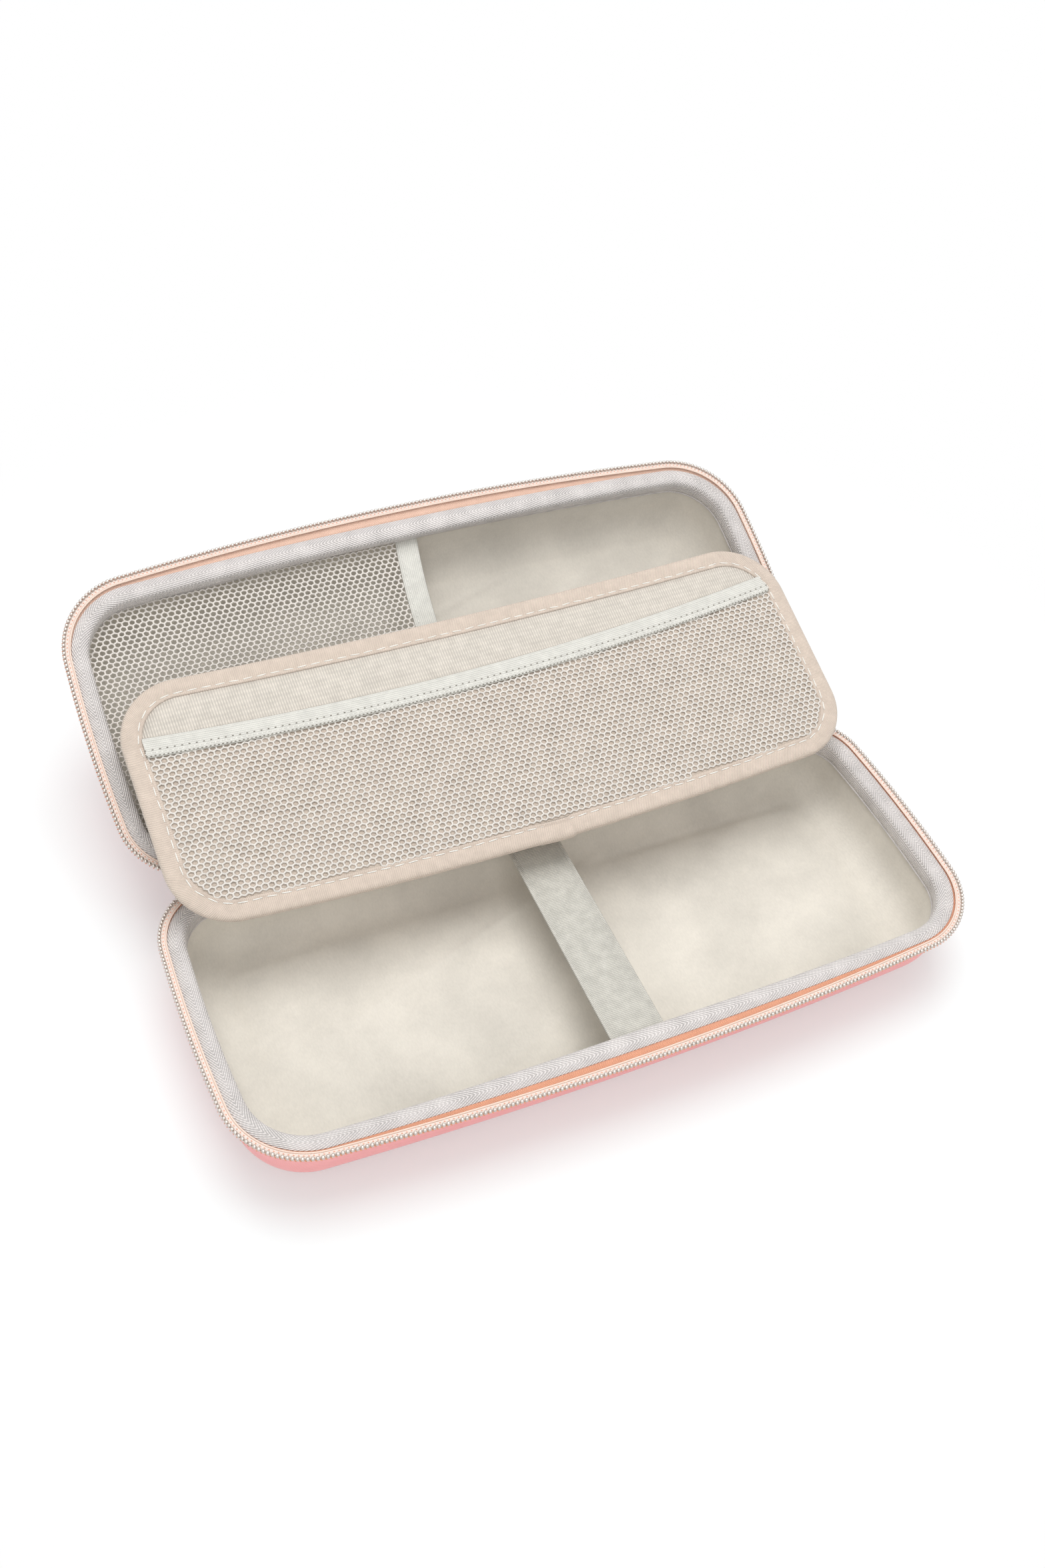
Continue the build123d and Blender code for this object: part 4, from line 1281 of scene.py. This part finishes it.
def build_strap():
    """Knitted elastic strap across the base, its ribbed edges a little raised."""
    near = HINGE_GAP + WIDTH - SHELL_DRAWN_IN - TAPE_INSET - 1.0 * MM
    far = HINGE_GAP + TAPE_INSET + 1.6 * MM
    steps = 60
    profile = [(-0.5, 0.0), (-0.485, 0.4), (-0.45, 0.42), (-0.43, -0.2), (-0.4, 0.42), (0.0, 0.36),
               (0.4, 0.42), (0.43, -0.2), (0.45, 0.42), (0.485, 0.4), (0.5, 0.0), (0.4, -0.4),
               (0.0, -0.5), (-0.4, -0.4)]
    rows = []
    for place, height in profile:
        row = []
        for index in range(steps + 1):
            share = index / steps
            y = near + (far - near) * share
            depth = STRAP_FRONT_DEPTH + (STRAP_BACK_DEPTH - STRAP_FRONT_DEPTH) * share
            x = STRAP_X + STRAP_SKEW * share + place * STRAP_WIDTH
            row.append(Vector((x, y, depth - height * MM)))
        rows.append(row)
    strap = skin("base_elastic", rows, finish("strap"), MOUTHS["base"], closed_along=False,
                 closed_across=True)
    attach(strap, "base")
    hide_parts("elastic_strap")


POCKET_DEPTH = 8.6 * MM
POCKET_X = -3.2 * MM
POCKET_DRAWN_IN = 7.0 * MM
POCKET_BAND_WIDTH = 9.4 * MM


def pocket_edge(v, shift=0.0):
    """Band's outer edge in the lid's own space, drawn in at its middle."""
    share = (v - MIDDLE_Y) / (WIDTH / 2)
    return -POCKET_X - POCKET_BAND_WIDTH + POCKET_DRAWN_IN * (1 - share * share) + shift


def build_lid_pocket():
    """Net over the lid's left part with an elastic band along its free edge."""
    sizes = bpy.context.scene.case_sizes
    outline = case_outline(SHELL_DRAWN_IN)
    inset = TAPE_INSET + POCKET_DEPTH * math.tan(DRAFT) - 0.2 * MM
    inside = inset_row(outline, inset, 0.0)
    area = [Vector((max(p.x, pocket_edge(p.y, 2 * MM)), p.y)) for p in inside]
    place = MOUTHS["lid"] @ Matrix.Translation((0, 0, POCKET_DEPTH + 0.25 * MM))
    net = grown("lid_net_threads", tree_named("Hexagonal Net"), flat_area("Area", area), {
        "Pitch": sizes.net_pitch, "Thread": sizes.net_thread, "Length": LENGTH,
        "Width": WIDTH}, finish("net"), place)
    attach(net, "lid")
    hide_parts("lid_pocket_net")
    near = HINGE_GAP + inset + 0.1 * MM
    far = HINGE_GAP + WIDTH - SHELL_DRAWN_IN - inset - 0.1 * MM
    steps = 70
    profile = [(0.0, 0.0), (0.2, 0.5), (1.0, 0.75), (3.0, 0.85), (6.5, 0.85), (8.4, 0.75),
               (9.2, 0.5), (9.4, 0.0)]
    rows = []
    for shift, height in profile:
        rows.append([Vector((pocket_edge(v, shift * MM), v, -0.3 * MM - height * MM))
                     for v in (near + (far - near) * i / steps for i in range(steps + 1))])
    band = skin("lid_net_elastic", rows, finish("band"), place, closed_along=False,
                closed_across=True)
    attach(band, "lid")
    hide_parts("lid_pocket_band")
    dot = rounded_shape("Needle Dot", 1.3 * MM, 0.4 * MM, 0.35 * MM, [
        (0.0, 0.4), (0.3, 1.0), (0.7, 1.0), (1.0, 0.4)], 6)
    line = [Vector((pocket_edge(v, 7.6 * MM), v, -1.15 * MM))
            for v in (near + (far - near) * i / steps for i in range(steps + 1))]
    dots = row_of("lid_band_stitches", dot, line, False, 2.6 * MM, finish("stitch"), place,
                  Unevenness=0.1)
    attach(dots, "lid")


class CASE_OT_soft_fittings(bpy.types.Operator):
    """Build the strap in the base and the net pocket in the lid"""
    bl_idname = "case.soft_fittings"
    bl_label = "Strap and Lid Pocket"

    def execute(self, context):
        build_strap()
        build_lid_pocket()
        return {"FINISHED"}


# ---- stage ------------------------------------------------------------------------------------------------
CAMERA_PLACE = Vector((-0.21243, -0.29782, 0.50391))
CAMERA_AZIMUTH = math.radians(-31.10)
CAMERA_ELEVATION = math.radians(48.11)
CAMERA_ROLL = math.radians(8.61)
FOCAL_PIXELS = 2490.0           # in the photograph's own pixels
FRAME_PIXELS = 2352.0           # its height
SENSOR = 36.0


def build_camera(context):
    away = Vector((math.sin(CAMERA_AZIMUTH) * math.cos(CAMERA_ELEVATION),
                   -math.cos(CAMERA_AZIMUTH) * math.cos(CAMERA_ELEVATION),
                   math.sin(CAMERA_ELEVATION)))
    right = (-away).cross(Vector((0, 0, 1))).normalized()
    up = right.cross(-away)
    turned_right = right * math.cos(CAMERA_ROLL) + up * math.sin(CAMERA_ROLL)
    turned_up = up * math.cos(CAMERA_ROLL) - right * math.sin(CAMERA_ROLL)
    data = bpy.data.cameras.new("Camera")
    data.sensor_fit = "VERTICAL"
    data.sensor_height = SENSOR
    data.lens = FOCAL_PIXELS / FRAME_PIXELS * SENSOR
    data.clip_start = 0.01
    camera = bpy.data.objects.new("Camera", data)
    camera.matrix_world = Matrix.Translation(CAMERA_PLACE) @ Matrix(
        (turned_right, turned_up, away)).transposed().to_4x4()
    context.scene.collection.objects.link(camera)
    context.scene.camera = camera


def seen_directly(shades):
    """1 for what the camera, a reflection or glass sees straight, else 0."""
    path = shades.add("ShaderNodeLightPath")
    found = shades.math("MAXIMUM", path.outputs["Is Camera Ray"], path.outputs["Is Glossy Ray"])
    return shades.math("MAXIMUM", found, path.outputs["Is Transmission Ray"])


def build_floor():
    """Pale floor that keeps a soft shadow and fades to white."""
    rows = [[Vector((radius * math.cos(angle), radius * math.sin(angle), -0.1 * MM))
             for angle in (i * 2 * math.pi / 48 for i in range(48))]
            for radius in (0.0, 0.5, 1.5, 4.0)]
    material = bpy.data.materials.new("Floor")
    material.use_nodes = True
    shades = Shades(material.node_tree)
    cloth_shader = material.node_tree.nodes["Principled BSDF"]
    # Tinted cyan, so that the pink light the shell bounces into the floor's shadow comes out grey.
    cloth_shader.inputs["Base Color"].default_value = (0.9, 0.97, 0.97, 1)
    cloth_shader.inputs["Roughness"].default_value = 0.9
    glow = shades.add("ShaderNodeEmission", [("Color", (1, 1, 1, 1)), ("Strength", 1.0)])
    place = shades.add("ShaderNodeTexCoord").outputs["Object"]
    reach = shades.add("ShaderNodeVectorMath", [(0, place), (1, (0.0, -0.06, 0.0))],
                       operation="ADD").outputs[0]
    reach = shades.add("ShaderNodeVectorMath", [(0, reach)], operation="LENGTH").outputs["Value"]
    fade = shades.add("ShaderNodeMapRange", [
        ("Value", reach), ("From Min", 0.16), ("From Max", 0.32), ("To Min", 0.3),
        ("To Max", 1.0)], interpolation_type="SMOOTHSTEP").outputs[0]
    share = shades.math("MULTIPLY", seen_directly(shades), fade)
    blend = shades.add("ShaderNodeMixShader", [
        (0, share), (1, cloth_shader.outputs[0]), (2, glow.outputs[0])])
    output = material.node_tree.nodes["Material Output"]
    shades.tree.links.new(blend.outputs[0], output.inputs["Surface"])
    floor = skin("floor", rows[::-1], material, Matrix())
    floor.data.flip_normals()


def build_light(name, place, size, power, aim=Vector((0, 0.06, 0.03))):
    data = bpy.data.lights.new(name, "AREA")
    data.size = size
    data.energy = power
    lamp = bpy.data.objects.new(name, data)
    lamp.location = place
    lamp.rotation_euler = (place - aim).to_track_quat("Z", "Y").to_euler()
    bpy.context.scene.collection.objects.link(lamp)


class CASE_OT_stage(bpy.types.Operator):
    """Set up the floor, lamps, backdrop and camera"""
    bl_idname = "case.stage"
    bl_label = "Stage"

    def execute(self, context):
        build_floor()
        build_light("Key", Vector((0.08, 0.34, 1.6)), 1.2, 16.5)
        build_light("Fill", Vector((-0.5, -1.3, 1.5)), 1.4, 9.5)
        world = context.scene.world or bpy.data.worlds.new("World")
        context.scene.world = world
        world.use_nodes = True
        shades = Shades(world.node_tree)
        background = world.node_tree.nodes["Background"]
        strength = shades.math("MULTIPLY_ADD", seen_directly(shades), 0.48, 0.52)
        shades.tree.links.new(strength, background.inputs["Strength"])
        background.inputs["Color"].default_value = (1, 1, 1, 1)
        context.scene.view_settings.view_transform = "Standard"
        build_camera(context)
        return {"FINISHED"}


class CASE_PT_panel(bpy.types.Panel):
    """Lists the steps, sizes and colours of the case"""
    bl_idname = "CASE_PT_panel"
    bl_label = "Case"
    bl_space_type = "VIEW_3D"
    bl_region_type = "UI"
    bl_category = "Case"

    def draw(self, context):
        for step in STEPS:
            self.layout.operator(step.bl_idname)
        for settings in (context.scene.case_sizes, context.scene.case_colours):
            for name in settings.bl_rna.properties.keys():
                if name not in ("rna_type", "name"):
                    self.layout.prop(settings, name)


STEPS = (CASE_OT_stage, CASE_OT_half, CASE_OT_hinge_side, CASE_OT_divider, CASE_OT_soft_fittings)
CLASSES = (CaseSizes, CaseColours, *STEPS, CASE_PT_panel)


def register():
    for item in CLASSES:
        bpy.utils.register_class(item)
    bpy.types.Scene.case_sizes = bpy.props.PointerProperty(type=CaseSizes)
    bpy.types.Scene.case_colours = bpy.props.PointerProperty(type=CaseColours)


def unregister():
    del bpy.types.Scene.case_colours
    del bpy.types.Scene.case_sizes
    for item in reversed(CLASSES):
        bpy.utils.unregister_class(item)


def main():
    register()
    bpy.ops.case.stage()
    bpy.ops.case.halves()
    bpy.ops.case.hinge_side()
    bpy.ops.case.divider()
    bpy.ops.case.soft_fittings()


if __name__ == "__main__":
    main()
